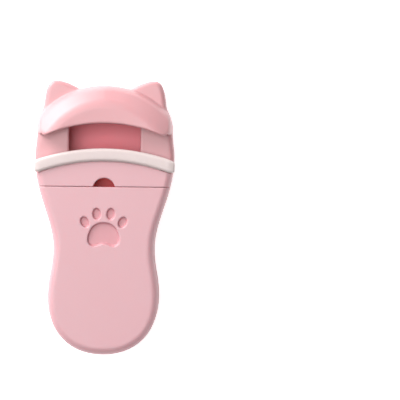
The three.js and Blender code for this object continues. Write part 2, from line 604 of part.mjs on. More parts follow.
function makeLashPad() {
  const low = PAD_Y - PAD_HEIGHT;
  const band = (top, bottom, half, z0, z1) =>
    cut(
      slab(belowArc(top, PAD_RADIUS, half, 0), z0, z1, 24),
      slab(belowArc(bottom, PAD_RADIUS - PAD_HEIGHT, FAR / 2, -FAR), 0, FAR, 24),
    );
  const main = band(PAD_Y, low, PAD_HALF, JAW_BACK_Z + 0.1, PAD_Z - 0.8);
  const crown = band(PAD_Y - 0.7, low + 0.7, PAD_HALF - 0.7, JAW_BACK_Z + 0.1, PAD_Z);
  const tongue = band(low + 0.2, low - PAD_TONGUE, PAD_HALF - 4.4, JAW_BACK_Z + 1.0, FRONT_Z - 1.0);
  return join(main, crown, tongue);
}

// ---- Springs --------------------------------------------------------------------------------------
// A torsion spring round a pivot pin: one leg presses on the lever's frame, one on the back shell.
function makeSpring(side) {
  const { radius, wire, turns, pitch, steps } = SPRING;
  const startX = LUG_X - GAP - wire;
  const points = [];
  points.push(new THREE.Vector3(side * startX, PIVOT_Y - 5.2, FRAME_BACK_Z - wire - 0.35));
  points.push(new THREE.Vector3(side * startX, PIVOT_Y - 3.6, FRAME_BACK_Z - wire - 0.45));
  const first = Math.PI * 0.35;
  const total = turns * 2 * Math.PI + Math.PI * 0.65;
  const count = Math.round((total / (2 * Math.PI)) * steps);
  for (let i = 0; i <= count; i++) {
    const turn = (total * i) / count;
    const a = Math.PI / 2 + first - turn;
    const x = side * (startX - (pitch * turn) / (2 * Math.PI));
    points.push(new THREE.Vector3(x, PIVOT_Y + radius * Math.cos(a), PIVOT_Z + radius * Math.sin(a)));
  }
  const last = points[points.length - 1];
  points.push(new THREE.Vector3(last.x, last.y + 0.2, last.z - 4));
  points.push(new THREE.Vector3(last.x, last.y + 0.2, FLOOR + 0.5));
  const path = new THREE.CatmullRomCurve3(points, false, "centripetal");
  const section = ellipse(0, 0, wire, wire, 0);
  const pieces = Math.round(points.length * 1.5);
  return solid(new THREE.ExtrudeGeometry(section, { steps: pieces, extrudePath: path, curveSegments: 3 }));
}

// ---- Assembly -------------------------------------------------------------------------------------
const curler = new THREE.Group();

function add(name, made, material) {
  const { vertProperties, triVerts } = made.getMesh();
  const geometry = new THREE.BufferGeometry();
  geometry.setAttribute("position", new THREE.BufferAttribute(vertProperties, 3));
  geometry.setIndex(new THREE.BufferAttribute(triVerts, 1));
  geometry.computeVertexNormals();
  const mesh = new THREE.Mesh(geometry, material);
  mesh.name = name;
  curler.add(mesh);
}

add("front_shell", makeFrontShell(), shellPink);
add("back_shell", makeBackShell(), shellPink);
add("window_card", makeWindowCard(), cardRose);
for (const { name, x, y } of CASE_SCREWS) add(name, makeScrew(CASE_SCREW, x, y, GAP), steel);

add("press_lever", makePressLever(), leverPink);
add("lever_frame", makeLeverFrame(), acetal);
for (const { name, x, y } of LEVER_SCREWS) {
  const screw = { ...SMALL_SCREW, reach: FRAME_THICK + BOSS_HEIGHT + GAP };
  add(name, makeScrew(screw, x, y, FRAME_BACK_Z - GAP - SMALL_SCREW.headThick), steel);
}

add("slider_plate", makeSliderPlate(), leverPink);
add("slider_carriage", makeCarriage(), carriageRed);
add("lash_pad", makeLashPad(), silicone);
const drivePinHalf = CAM_X + CAM_THICK - 0.2;
add("drive_pin", postAlongX(DRIVE_Y, DRIVE_Z, DRIVE_RADIUS, -drivePinHalf, drivePinHalf), steel);

const carriageScrew = { ...SMALL_SCREW, reach: FRONT_Z - 1.3 - FLANGE_BACK_Z + GAP };
const carriageScrewZ = FLANGE_BACK_Z - GAP - SMALL_SCREW.headThick;
const pinInnerX = LUG_X - GAP - SPRING.pitch * (SPRING.turns + 1);
const pinOuterX = LUG_X + LUG_THICK + GAP + PIN_SEAT;
for (const side of [-1, 1]) {
  const screw = makeScrew(carriageScrew, side * CARRIAGE_SCREW_X, CARRIAGE_SCREW_Y, carriageScrewZ);
  add(sided("carriage_screw", side), screw, steel);

  const ring = onSide(side, STRUT_HALF + GAP, STRUT_HALF + GAP + RING_THICK);
  const ringBody = cut(
    postAlongX(DRIVE_Y, DRIVE_Z, RING_RADIUS, ...ring),
    postAlongX(DRIVE_Y, DRIVE_Z, DRIVE_RADIUS + PRESS_GAP, ring[0] - 1, ring[1] + 1),
  );
  add(sided("drive_pin_ring", side), ringBody, steel);

  const pin = postAlongX(PIVOT_Y, PIVOT_Z, PIVOT_RADIUS, ...onSide(side, pinInnerX, pinOuterX));
  add(sided("pivot_pin", side), pin, steel);
  add(sided("return_spring", side), makeSpring(side), steel);
}

export default curler;
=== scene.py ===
"""Looks for the cat-eared eyelash curler, built round its packed CAD parts.

The moulded shells, lever and jaw plate are made from distance fields, so that every edge has its
own radius. Screws, springs, pins and the lash pad are made by Geometry Nodes from a few sizes.
"""

import math
from itertools import product

import bpy
import numpy as np
from bpy.props import FloatProperty, IntProperty, PointerProperty, StringProperty
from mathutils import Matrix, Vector
from mathutils.geometry import tessellate_polygon


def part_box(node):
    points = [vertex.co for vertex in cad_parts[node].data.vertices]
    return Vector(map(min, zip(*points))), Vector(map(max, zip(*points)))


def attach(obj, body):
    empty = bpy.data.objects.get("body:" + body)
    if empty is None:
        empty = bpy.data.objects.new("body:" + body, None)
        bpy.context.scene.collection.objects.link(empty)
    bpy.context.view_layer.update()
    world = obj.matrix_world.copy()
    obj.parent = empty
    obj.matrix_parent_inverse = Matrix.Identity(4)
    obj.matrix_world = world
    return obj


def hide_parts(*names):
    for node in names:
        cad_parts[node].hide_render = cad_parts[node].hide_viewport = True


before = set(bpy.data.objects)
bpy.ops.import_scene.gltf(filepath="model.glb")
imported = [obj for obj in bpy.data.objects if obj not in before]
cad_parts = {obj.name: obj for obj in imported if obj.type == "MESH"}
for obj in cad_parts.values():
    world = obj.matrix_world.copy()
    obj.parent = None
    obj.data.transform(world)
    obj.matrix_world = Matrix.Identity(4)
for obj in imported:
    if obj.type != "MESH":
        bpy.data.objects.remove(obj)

bl_info = {
    "name": "Cat-Eared Eyelash Curler",
    "version": (1, 0, 0),
    "blender": (4, 5, 0),
    "location": "View3D > Sidebar > Curler",
    "description": "Builds the looks of a pocket eyelash curler round its CAD parts",
    "category": "Object",
}

MM = 0.001


# ---- Where the CAD parts lie, in millimetres --------------------------------
def cad(node):
    """Lowest and highest corner of a CAD node, in millimetres."""
    low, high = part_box(node)
    return np.array(low) / MM, np.array(high) / MM


def centre(node):
    low, high = cad(node)
    return (low + high) / 2


HEAD_HALF = cad("back_shell")[1][0]
END_Y = cad("back_shell")[0][1]
EAR_Y = cad("front_shell")[1][1]
SPLIT_Z = cad("front_shell")[0][2]
HOOD_Z = cad("front_shell")[1][2]
FRONT_Z = cad("press_lever")[1][2]
LEVER_BACK_Z = cad("press_lever")[0][2]
LEVER_TOP_Y = cad("press_lever")[1][1]
JAW_LOW_Y = cad("slider_plate")[0][1]
JAW_TOP_Y = cad("slider_plate")[1][1]
JAW_BACK_Z = cad("slider_plate")[0][2]
PAD_LOW, PAD_HIGH = cad("lash_pad")
PIVOT_Y, PIVOT_Z = centre("pivot_pin_left")[1:]
DRIVE_Y, DRIVE_Z = centre("drive_pin")[1:]
RAIL_TOP_Z = cad("back_shell")[1][2]
GAP = 0.3
BACK_DEPTH = SPLIT_Z - GAP
CHEEK_Z = JAW_BACK_Z - GAP
SEAM_Y = (LEVER_TOP_Y + JAW_LOW_Y) / 2
PAW_Y = SEAM_Y - 13.9
PAD_RADIUS, PAD_HEIGHT = 64.5, 4.0  # of the pad's upper edge and of its section
LEDGE_Y = PAD_HIGH[1] + 7.75  # where the hood's ledge stops the pad
WINDOW_HALF = 11.3
NOTCH_RADIUS, NOTCH_DEPTH = 3.5, 2.6
CASE_BORE, SMALL_BORE = 1.25, 0.95  # radius of the holes round the screws
CASE_SCREWS = [f"case_screw_{i}" for i in (1, 2, 3, 4)]
LEVER_SCREWS = [f"lever_screw_{i}" for i in (1, 2, 3, 4)]
CARRIAGE_SCREWS = ["carriage_screw_left", "carriage_screw_right"]


# ---- Sizes that can be changed in the sidebar -------------------------------
def length(name, description, mm):
    return FloatProperty(
        name=name, description=description, default=mm * MM, min=0, unit="LENGTH", precision=5
    )


class CurlerOutline(bpy.types.PropertyGroup):
    """Silhouette of the body, as in the CAD."""

    neck_half: length("Neck half width", "Half width of the narrowest place", 15.9)
    bulge_half: length("Bulge half width", "Half width of the handle's widest place", 17.5)
    cheek_inset: length("Cheek inset", "How much narrower the head is above the pad", 0.6)
    wide_drop: length("Wide drop", "From the ears' tips to the widest place", 24.3)
    neck_rise: length("Neck rise", "From the handle's end to the neck", 33.8)
    bulge_rise: length("Bulge rise", "From the handle's end to the bulge", 18.1)
    ear_inset: length("Ear inset", "From the head's side to the ear's tip", 6.4)
    ear_width: length("Ear width", "From the ear's tip to its foot on the crown", 7.4)


class CurlerShells(bpy.types.PropertyGroup):
    """Walls and edges of the moulded pieces."""

    wall: length("Wall", "Thickness of the moulded walls", 1.8)
    cheek_wall: length("Cheek wall", "Thickness of the recessed cheeks", 2.0)
    cheek_edge: length("Cheek edge", "Radius of the head's front edge", 1.5)
    front_edge: length("Front edge", "Radius of the lever's and jaw's front edge", 2.3)
    back_edge: length("Back edge", "Radius of the back shell's outer edge", 1.2)
    fine_edge: length("Fine edge", "Radius of parting edges", 0.25)
    seam_edge: length("Seam edge", "Radius of the edges at the seam across the front", 0.13)
    seam_fill: length("Seam fill", "How far each side reaches into the CAD's seam", 0.08)
    crown_fold: length("Crown fold", "Width of the sloping band at the hood's middle", 5.6)
    side_fold: length("Side fold", "Width of the sloping band at the hood's ends", 6.4)
    crown_drop: length("Crown drop", "How far the band falls at the hood's middle", 3.4)
    side_drop: length("Side drop", "How far the band falls at the hood's ends", 5.2)
    dish: length("Dish", "How far the hood's face dips in the middle", 0.7)
    lip: length("Lip", "Thickness of the hood's front lip", 2.1)
    paw_depth: length("Paw depth", "Depth of the paw print", 0.85)
    shell_step: length("Shell step", "Grid step of the two body shells", 0.35)
    fine_step: length("Fine step", "Grid step of the finest places", 0.17)


class CurlerHardware(bpy.types.PropertyGroup):
    """Fasteners, pins and springs."""

    thread_pitch: length("Thread pitch", "Pitch of the thread-forming screws", 0.7)
    recess: length("Recess width", "Width of the cross recess' slots", 0.5)
    wire: length("Spring wire", "Radius of the return springs' wire", 0.35)
    coil: length("Coil radius", "Radius of the return springs' coils", 2.2)
    turns: IntProperty(name="Turns", description="Whole turns of each spring", default=4, min=1)
    seed: IntProperty(name="Seed", description="Seed of how far each screw is turned", default=7)


class CurlerLook(bpy.types.PropertyGroup):
    """Colours, as sRGB hex."""

    shell: StringProperty(name="Shell", description="Pink ABS of the two shells", default="CE989C")
    panel: StringProperty(name="Panel", description="Pink ABS of lever and jaw", default="D1A2A8")
    # Painted bounce light: the carriage's deep red stands in for light bouncing inside the finger
    # notch in front of it.
    rose: StringProperty(name="Rose", description="Rose acetal of the carriage", default="E81620")
    # Painted bounce light: the card's deep rose stands in for light bouncing round the pink chamber
    # behind the window.
    card: StringProperty(name="Card", description="Card behind the window", default="F48A95")
    silicone: StringProperty(name="Silicone", description="Pad", default="D8C9C7")
    acetal: StringProperty(name="Acetal", description="Lever frame", default="DCC4C4")


class CurlerStage(bpy.types.PropertyGroup):
    """Camera and light."""

    distance: length("Camera distance", "From the lens to the front of the lever", 1200)
    view_width: length("View width", "Width of the picture at the front of the lever", 126.1)
    aim_x: length("Aim X", "Where the lens points, to the object's right", 30.3)
    aim_y: length("Aim Y", "Where the lens points, towards the ears", 5.85)
    roll: FloatProperty(
        name="Roll", description="Turn of the camera", default=math.radians(0.6), subtype="ANGLE"
    )
    key: FloatProperty(name="Key", description="Watts of the main softbox", default=13.0, min=0)
    edge: FloatProperty(name="Edge", description="Watts of the low softbox", default=6.0, min=0)
    world: FloatProperty(name="World", description="Light of the white room", default=0.22, min=0)
    glow: FloatProperty(name="Glow", description="How much the floor lights itself", default=0.72)


GROUPS = {
    "curler_outline": CurlerOutline,
    "curler_shells": CurlerShells,
    "curler_hardware": CurlerHardware,
    "curler_look": CurlerLook,
    "curler_stage": CurlerStage,
}


def sizes(group):
    """A property group's lengths in millimetres, as a plain object."""

    class Sizes:
        pass

    for name, prop in group.bl_rna.properties.items():
        if prop.type == "FLOAT" and prop.unit == "LENGTH":
            setattr(Sizes, name, getattr(group, name) / MM)
    return Sizes


# ---- Distance fields: negative inside, in millimetres -----------------------
def meet(a, b, radius=0.0):
    """Inside both, with the edge between them rounded."""
    corner = np.hypot(np.maximum(a + radius, 0), np.maximum(b + radius, 0))
    return np.minimum(np.maximum(a, b), -radius) + corner


def join(a, b, radius=0.0):
    """Inside either, with the corner between them filled."""
    return -meet(-a, -b, radius)


def cut(a, b, radius=0.0):
    return meet(a, -b, radius)


def between(v, low, high):
    return np.maximum(low - v, v - high)


def post(a, b, at_a, at_b, radius):
    return np.hypot(a - at_a, b - at_b) - radius


def polygon(x, y, points):
    """Distance to a closed outline."""
    x, y = np.broadcast_arrays(x, y)
    nearest = np.full(x.shape, np.inf)
    inside = np.zeros(x.shape, bool)
    for (ax, ay), (bx, by) in zip(points, np.roll(points, -1, axis=0)):
        ex, ey = bx - ax, by - ay
        px, py = x - ax, y - ay
        t = np.clip((px * ex + py * ey) / (ex * ex + ey * ey), 0, 1)
        nearest = np.minimum(nearest, (px - t * ex) ** 2 + (py - t * ey) ** 2)
        if ay != by:
            inside ^= ((ay > y) != (by > y)) & (px < py * ex / ey)
    return np.where(inside, -1, 1) * np.sqrt(nearest)


def surface_net(distance, xs, ys, zs):
    """Vertices and quads round the zero level of distance, sampled on a grid."""
    field = distance(xs[:, None, None], ys[None, :, None], zs[None, None, :])
    field = np.ascontiguousarray(np.broadcast_to(field, (len(xs), len(ys), len(zs))))
    inside = field < 0
    shape = [n - 1 for n in field.shape]
    count = np.zeros(shape, np.uint8)
    for o in product((0, 1), repeat=3):
        count += inside[tuple(slice(k, k + n) for k, n in zip(o, shape))]
    active = (count > 0) & (count < 8)
    cells = np.argwhere(active)
    index = np.full(shape, -1)
    index[active] = np.arange(len(cells))
    total, hits = np.zeros((len(cells), 3)), np.zeros((len(cells), 1))
    step = np.eye(3, dtype=int)
    axes = (xs, ys, zs)
    for axis in range(3):
        for o in product((0, 1), repeat=2):
            start = cells + np.insert(o, axis, 0)
            end = start + step[axis]
            f0, f1 = field[tuple(start.T)], field[tuple(end.T)]
            hit = (f0 < 0) != (f1 < 0)
            t = np.where(hit, f0 / np.where(hit, f0 - f1, 1), 0)[:, None]
            p0 = np.stack([axes[k][start[:, k]] for k in range(3)], 1)
            p1 = np.stack([axes[k][end[:, k]] for k in range(3)], 1)
            total += hit[:, None] * (p0 + t * (p1 - p0))
            hits += hit[:, None]
    quads = []
    for axis in range(3):
        b, c = (axis + 1) % 3, (axis + 2) % 3
        low = tuple(slice(0, -1) if k == axis else slice(1, -1) for k in range(3))
        high = tuple(slice(1, None) if k == axis else slice(1, -1) for k in range(3))
        flips = inside[low] != inside[high]
        at = np.argwhere(flips) + np.array([0 if k == axis else 1 for k in range(3)])
        loop = [at - step[b] - step[c], at - step[c], at, at - step[b]]
        quad = np.stack([index[tuple(p.T)] for p in loop], 1)
        outward = inside[tuple(at.T)]
        quads.append(np.where(outward[:, None], quad, quad[:, ::-1]))
    return total / hits, np.concatenate(quads)


def settle(distance, points, most):
    """Pulls points onto the zero level, none by more than most."""
    small = 0.01
    for _ in range(2):
        x, y, z = points.T
        here = distance(x, y, z)
        slope = np.stack(
            [
                distance(x + small, y, z) - here,
                distance(x, y + small, z) - here,
                distance(x, y, z + small) - here,
            ],
            1,
        )
        slope /= small
        steep = np.maximum((slope**2).sum(1), 0.25)
        move = np.clip(here / steep, -most, most)[:, None] * slope
        points = points - move
    return points


def steps(*stops):
    """Grid places from (end, step) pairs after a start: steps(0, (5, .3), (9, .6))."""
    start, *spans = stops
    places = [np.array([start])]
    for end, step in spans:
        n = max(1, math.ceil((end - start) / step))
        places.append(np.linspace(start, end, n + 1)[1:])
        start = end
    return np.concatenate(places)


def moulded_piece(name, distance, xs, ys, zs, body, slot):
    """One smooth-shaded mesh from a distance field, riding on a body in place of its CAD node."""
    points, quads = surface_net(distance, xs, ys, zs)
    points = settle(distance, points, 0.15)
    mesh = bpy.data.meshes.new(name)
    mesh.vertices.add(len(points))
    mesh.vertices.foreach_set("co", (points * MM).astype(np.float32).ravel())
    mesh.loops.add(quads.size)
    mesh.loops.foreach_set("vertex_index", quads.ravel().astype(np.int32))
    mesh.polygons.add(len(quads))
    mesh.polygons.foreach_set("loop_start", np.arange(0, quads.size, 4, dtype=np.int32))
    mesh.update(calc_edges=True)
    mesh.validate()
    mesh.shade_smooth()
    mesh.materials.append(finish_of(slot))
    piece = bpy.data.objects.new(name, mesh)
    bpy.context.scene.collection.objects.link(piece)
    place(piece, body, [name])
    return piece


def place(piece, body, nodes):
    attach(piece, body)
    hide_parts(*nodes)


# ---- Outlines ---------------------------------------------------------------
def bezier(a, b, c, d, count=14):
    t = np.linspace(0, 1, count, endpoint=False)[:, None]
    a, b, c, d = (np.array(p, float) for p in (a, b, c, d))
    return (1 - t) ** 3 * a + 3 * t * (1 - t) ** 2 * b + 3 * t**2 * (1 - t) * c + t**3 * d


def whole_outline(outline):
    """The silhouette with both ears, anticlockwise from the handle's end."""
    wide_y = EAR_Y - outline.wide_drop
    neck, neck_y = outline.neck_half, END_Y + outline.neck_rise
    bulge, bulge_y = outline.bulge_half, END_Y + outline.bulge_rise
    head, cheek = HEAD_HALF, HEAD_HALF - outline.cheek_inset
    tip_x = HEAD_HALF - outline.ear_inset
    foot_x, foot_y = tip_x - outline.ear_width, EAR_Y - 2.55
    side_x, side_y = cheek - 2.2, EAR_Y - 7.1
    drop = bulge_y - END_Y
    curves = [
        ((0, END_Y), (bulge * 0.62, END_Y), (bulge, bulge_y - drop * 0.6), (bulge, bulge_y)),
        ((bulge, bulge_y), (bulge, bulge_y + 7), (neck, neck_y - 7), (neck, neck_y)),
        ((neck, neck_y), (neck, neck_y + 8.6), (head, wide_y - 11.6), (head, wide_y)),
        ((head, wide_y), (head, wide_y + 4), (cheek, wide_y + 4), (cheek, wide_y + 9)),
        ((cheek, wide_y + 9), (cheek, side_y - 4), (side_x + 0.4, side_y - 3), (side_x, side_y)),
        ((side_x, side_y), (side_x - 0.3, side_y + 2.8), (side_x - 0.6, EAR_Y), (tip_x, EAR_Y)),
        ((tip_x, EAR_Y), (tip_x - 2.4, EAR_Y), (foot_x + 2.6, foot_y + 1.4), (foot_x, foot_y)),
    ]
    right = np.concatenate([bezier(*c) for c in curves] + [[(foot_x, foot_y)]])
    left = right[:0:-1] * (-1, 1)
    return np.concatenate([right, left])


def ellipse(x, y, rx, ry, turn, count=40):
    a = np.linspace(0, 2 * math.pi, count, endpoint=False)
    px, py = rx * np.cos(a), ry * np.sin(a)
    c, s = math.cos(turn), math.sin(turn)
    return np.stack([x + px * c - py * s, y + px * s + py * c], 1)


def paw_outlines():
    """Main pad and four toes of the print in the lever."""
    y = PAW_Y
    half = [
        ((0, y + 2.6), (2.4, y + 2.6), (3.9, y + 1.3), (4.6, y - 0.7)),
        ((4.6, y - 0.7), (5.5, y - 2.8), (4.9, y - 4.9), (3.1, y - 4.9)),
        ((3.1, y - 4.9), (1.9, y - 4.9), (1.2, y - 4.1), (0, y - 4.1)),
    ]
    right = np.concatenate([bezier(*c, count=10) for c in half] + [[(0, y - 4.1)]])
    toes = []
    for side in (-1, 1):
        toes.append(ellipse(side * 2.2, y + 5.3, 1.25, 1.8, side * -0.12))
        toes.append(ellipse(side * 5.95, y + 2.7, 1.25, 1.75, side * -0.45))
    return [np.concatenate([right, right[-2:0:-1] * (-1, 1)]), *toes]


# ---- Nodes ------------------------------------------------------------------
def linear(hex_code):
    """Linear RGBA of an sRGB hex."""
    parts = [int(hex_code[i : i + 2], 16) / 255 for i in (0, 2, 4)]
    return [c / 12.92 if c <= 0.04045 else ((c + 0.055) / 1.055) ** 2.4 for c in parts] + [1.0]


def add(tree, kind, inputs=None, **settings):
    """A node with its settings; inputs maps sockets to constants or to what links to them."""
    node = tree.nodes.new(kind)
    for key, value in settings.items():
        setattr(node, key, value)
    for key, value in (inputs or {}).items():
        several = value if isinstance(value, list) else [value]
        for item in several:
            if isinstance(item, bpy.types.Node):
                item = next(s for s in item.outputs if s.enabled)
            if isinstance(item, bpy.types.NodeSocket):
                tree.links.new(item, node.inputs[key])
            else:
                node.inputs[key].default_value = item
    return node


def material(name):
    made = bpy.data.materials.new(name)
    made.use_nodes = True
    made.node_tree.nodes.clear()
    return made, made.node_tree


def finish_material(tree, inputs):
    surface = add(tree, "ShaderNodeBsdfPrincipled", inputs)
    add(tree, "ShaderNodeOutputMaterial", {"Surface": surface.outputs["BSDF"]})


def grain(tree, size_mm, detail=2.0, stretch=(1, 1, 1)):
    """Noise whose blobs are about size_mm across, fixed to the piece."""
    coords = add(tree, "ShaderNodeTexCoord")
    spaced = {"Vector": coords.outputs["Object"], "Scale": stretch}
    mapped = add(tree, "ShaderNodeMapping", spaced)
    noise = {"Vector": mapped, "Scale": 1 / (size_mm * MM), "Detail": detail}
    return add(tree, "ShaderNodeTexNoise", noise).outputs["Fac"]


def spread(tree, value, low, high):
    """Noise spread over a range of roughness."""
    limits = {"From Min": 0.3, "From Max": 0.7, "To Min": low, "To Max": high}
    return add(tree, "ShaderNodeMapRange", {"Value": value, **limits}).outputs["Result"]


def blend(tree, factor, a, b, mode="MIX"):
    """Two colours mixed by a factor; each is a constant or a socket."""
    mix = add(tree, "ShaderNodeMix", data_type="RGBA", blend_type=mode)
    sockets = {s.identifier: s for s in [*mix.inputs, *mix.outputs]}
    for key, value in (("Factor_Float", factor), ("A_Color", a), ("B_Color", b)):
        if isinstance(value, bpy.types.NodeSocket):
            tree.links.new(value, sockets[key])
        else:
            sockets[key].default_value = value
    return sockets["Result_Color"]


def tinted(tree, factor, colour, darker=0.97, lighter=1.02):
    """The colour drifting a little between a darker and a lighter tint."""
    low = [c * darker for c in colour[:3]] + [1]
    high = [min(1, c * lighter) for c in colour[:3]] + [1]
    return blend(tree, factor, low, high)


def sunk(tree, colour, middle, reach, level, shade_tint):
    """The colour, redder inside a sunk print where light bounces from wall to wall.

    The print lies below level and within reach of its middle, all in mm."""
    here = add(tree, "ShaderNodeTexCoord").outputs["Object"]
    apart = add(
        tree,
        "ShaderNodeVectorMath",
        {0: here, 1: tuple(c * MM for c in middle)},
        operation="DISTANCE",
    ).outputs["Value"]
    height = add(tree, "ShaderNodeSeparateXYZ", {"Vector": here}).outputs["Z"]
    inside = add(tree, "ShaderNodeMath", {0: apart, 1: reach * MM}, operation="LESS_THAN")
    limits = {"From Min": level * MM, "From Max": (level - 0.35) * MM, "To Min": 0, "To Max": 1}
    below = add(tree, "ShaderNodeMapRange", {"Value": height, **limits}).outputs["Result"]
    shade_mask = add(
        tree, "ShaderNodeMath", {0: inside.outputs["Value"], 1: below}, operation="MULTIPLY"
    ).outputs["Value"]
    # Painted shade: inside the print the colour is multiplied by the darker, redder tint.
    return blend(tree, shade_mask, colour, [*shade_tint, 1], "MULTIPLY")


def moulded_abs(name, colour, satin, painted_print_shade=None):
    """Satin pink ABS: a soft even sheen, a fine spark-eroded grain and a little light through it."""
    made, tree = material(name)
    flow = grain(tree, 14, detail=1.0)
    skin = grain(tree, 0.28)
    pink = tinted(tree, flow, linear(colour))
    bump = add(tree, "ShaderNodeBump", {"Height": skin, "Strength": 0.12, "Distance": 0.02 * MM})
    finish_material(
        tree,
        {
            # Painted shade inside the sunk print, when one is given.
            "Base Color": sunk(tree, pink, **painted_print_shade) if painted_print_shade else pink,
            "Roughness": spread(tree, flow, satin - 0.03, satin + 0.04),
            "IOR": 1.53,
            "Subsurface Weight": 0.18,
            "Subsurface Radius": (1.0, 0.32, 0.3),
            "Subsurface Scale": 0.9 * MM,
            "Normal": bump.outputs["Normal"],
        },
    )
    return made


def silicone_rubber(colour):
    """White silicone: matt, slightly dusty and soft at its edges because light goes into it."""
    made, tree = material("Silicone Rubber")
    dust = grain(tree, 1.1, detail=4.0)
    bump = add(tree, "ShaderNodeBump", {"Height": dust, "Strength": 0.2, "Distance": 0.02 * MM})
    finish_material(
        tree,
        {
            "Base Color": tinted(tree, dust, linear(colour), 0.96, 1.0),
            "Roughness": spread(tree, dust, 0.5, 0.62),
            "IOR": 1.41,
            "Subsurface Weight": 0.3,
            "Subsurface Radius": (1.0, 0.9, 0.85),
            "Subsurface Scale": 0.8 * MM,
            "Normal": bump.outputs["Normal"],
        },
    )
    return made


def acetal_resin(name, colour):
    """Turned-looking slippery acetal: smoother than the shells, with faint flow marks."""
    made, tree = material(name)
    flow = grain(tree, 4, detail=3.0, stretch=(1, 0.25, 1))
    bump = add(tree, "ShaderNodeBump", {"Height": flow, "Strength": 0.15, "Distance": 0.03 * MM})
    finish_material(
        tree,
        {
            "Base Color": tinted(tree, flow, linear(colour), 0.93, 1.03),
            "Roughness": spread(tree, flow, 0.3, 0.4),
            "IOR": 1.48,
            "Subsurface Weight": 0.1,
            "Subsurface Radius": (1.0, 0.5, 0.45),
            "Subsurface Scale": 0.7 * MM,
            "Normal": bump.outputs["Normal"],
        },
    )
    return made


def plated_steel():
    """Bright zinc-plated steel: fine drawing lines and slightly uneven plating."""
    made, tree = material("Zinc-Plated Steel")
    lines = grain(tree, 0.12, detail=3.0, stretch=(1, 1, 8))
    patches = grain(tree, 1.6, detail=2.0)
    bump = add(tree, "ShaderNodeBump", {"Height": lines, "Strength": 0.3, "Distance": 0.01 * MM})
    finish_material(
        tree,
        {
            "Base Color": tinted(tree, patches, linear("C9CBCD"), 0.9, 1.05),
            "Metallic": 1.0,
            "Roughness": spread(tree, patches, 0.22, 0.36),
            "Normal": bump.outputs["Normal"],
        },
    )
    return made


MATERIALS = {}


def finish_of(slot):
    """The material of a slot, made once."""
    look = bpy.context.scene.curler_look
    # Painted shade: the paw print's pits are tinted darker and redder, as where light bounces
    # between their walls.
    paw_painted_shade = {
        "middle": (0, PAW_Y + 1.0, FRONT_Z),
        "reach": 8.6,
        "level": FRONT_Z - 0.15,
        "shade_tint": (0.97, 0.78, 0.8),
    }
    makers = {
        "shell_pink": lambda: moulded_abs("Moulded ABS Casing", look.shell, 0.4),
        "panel_pink": lambda: moulded_abs("Moulded ABS Panel", look.panel, 0.44, paw_painted_shade),
        # The carriage's and the card's colours hold painted bounce light.
        "carriage_rose": lambda: acetal_resin("Rose Acetal", look.rose),
        "card_rose": lambda: moulded_abs("Moulded ABS Card", look.card, 0.5),
        "silicone": lambda: silicone_rubber(look.silicone),
        "acetal": lambda: acetal_resin("Natural Acetal", look.acetal),
        "steel": plated_steel,
    }
    if slot not in MATERIALS:
        MATERIALS[slot] = makers[slot]()
    return MATERIALS[slot]


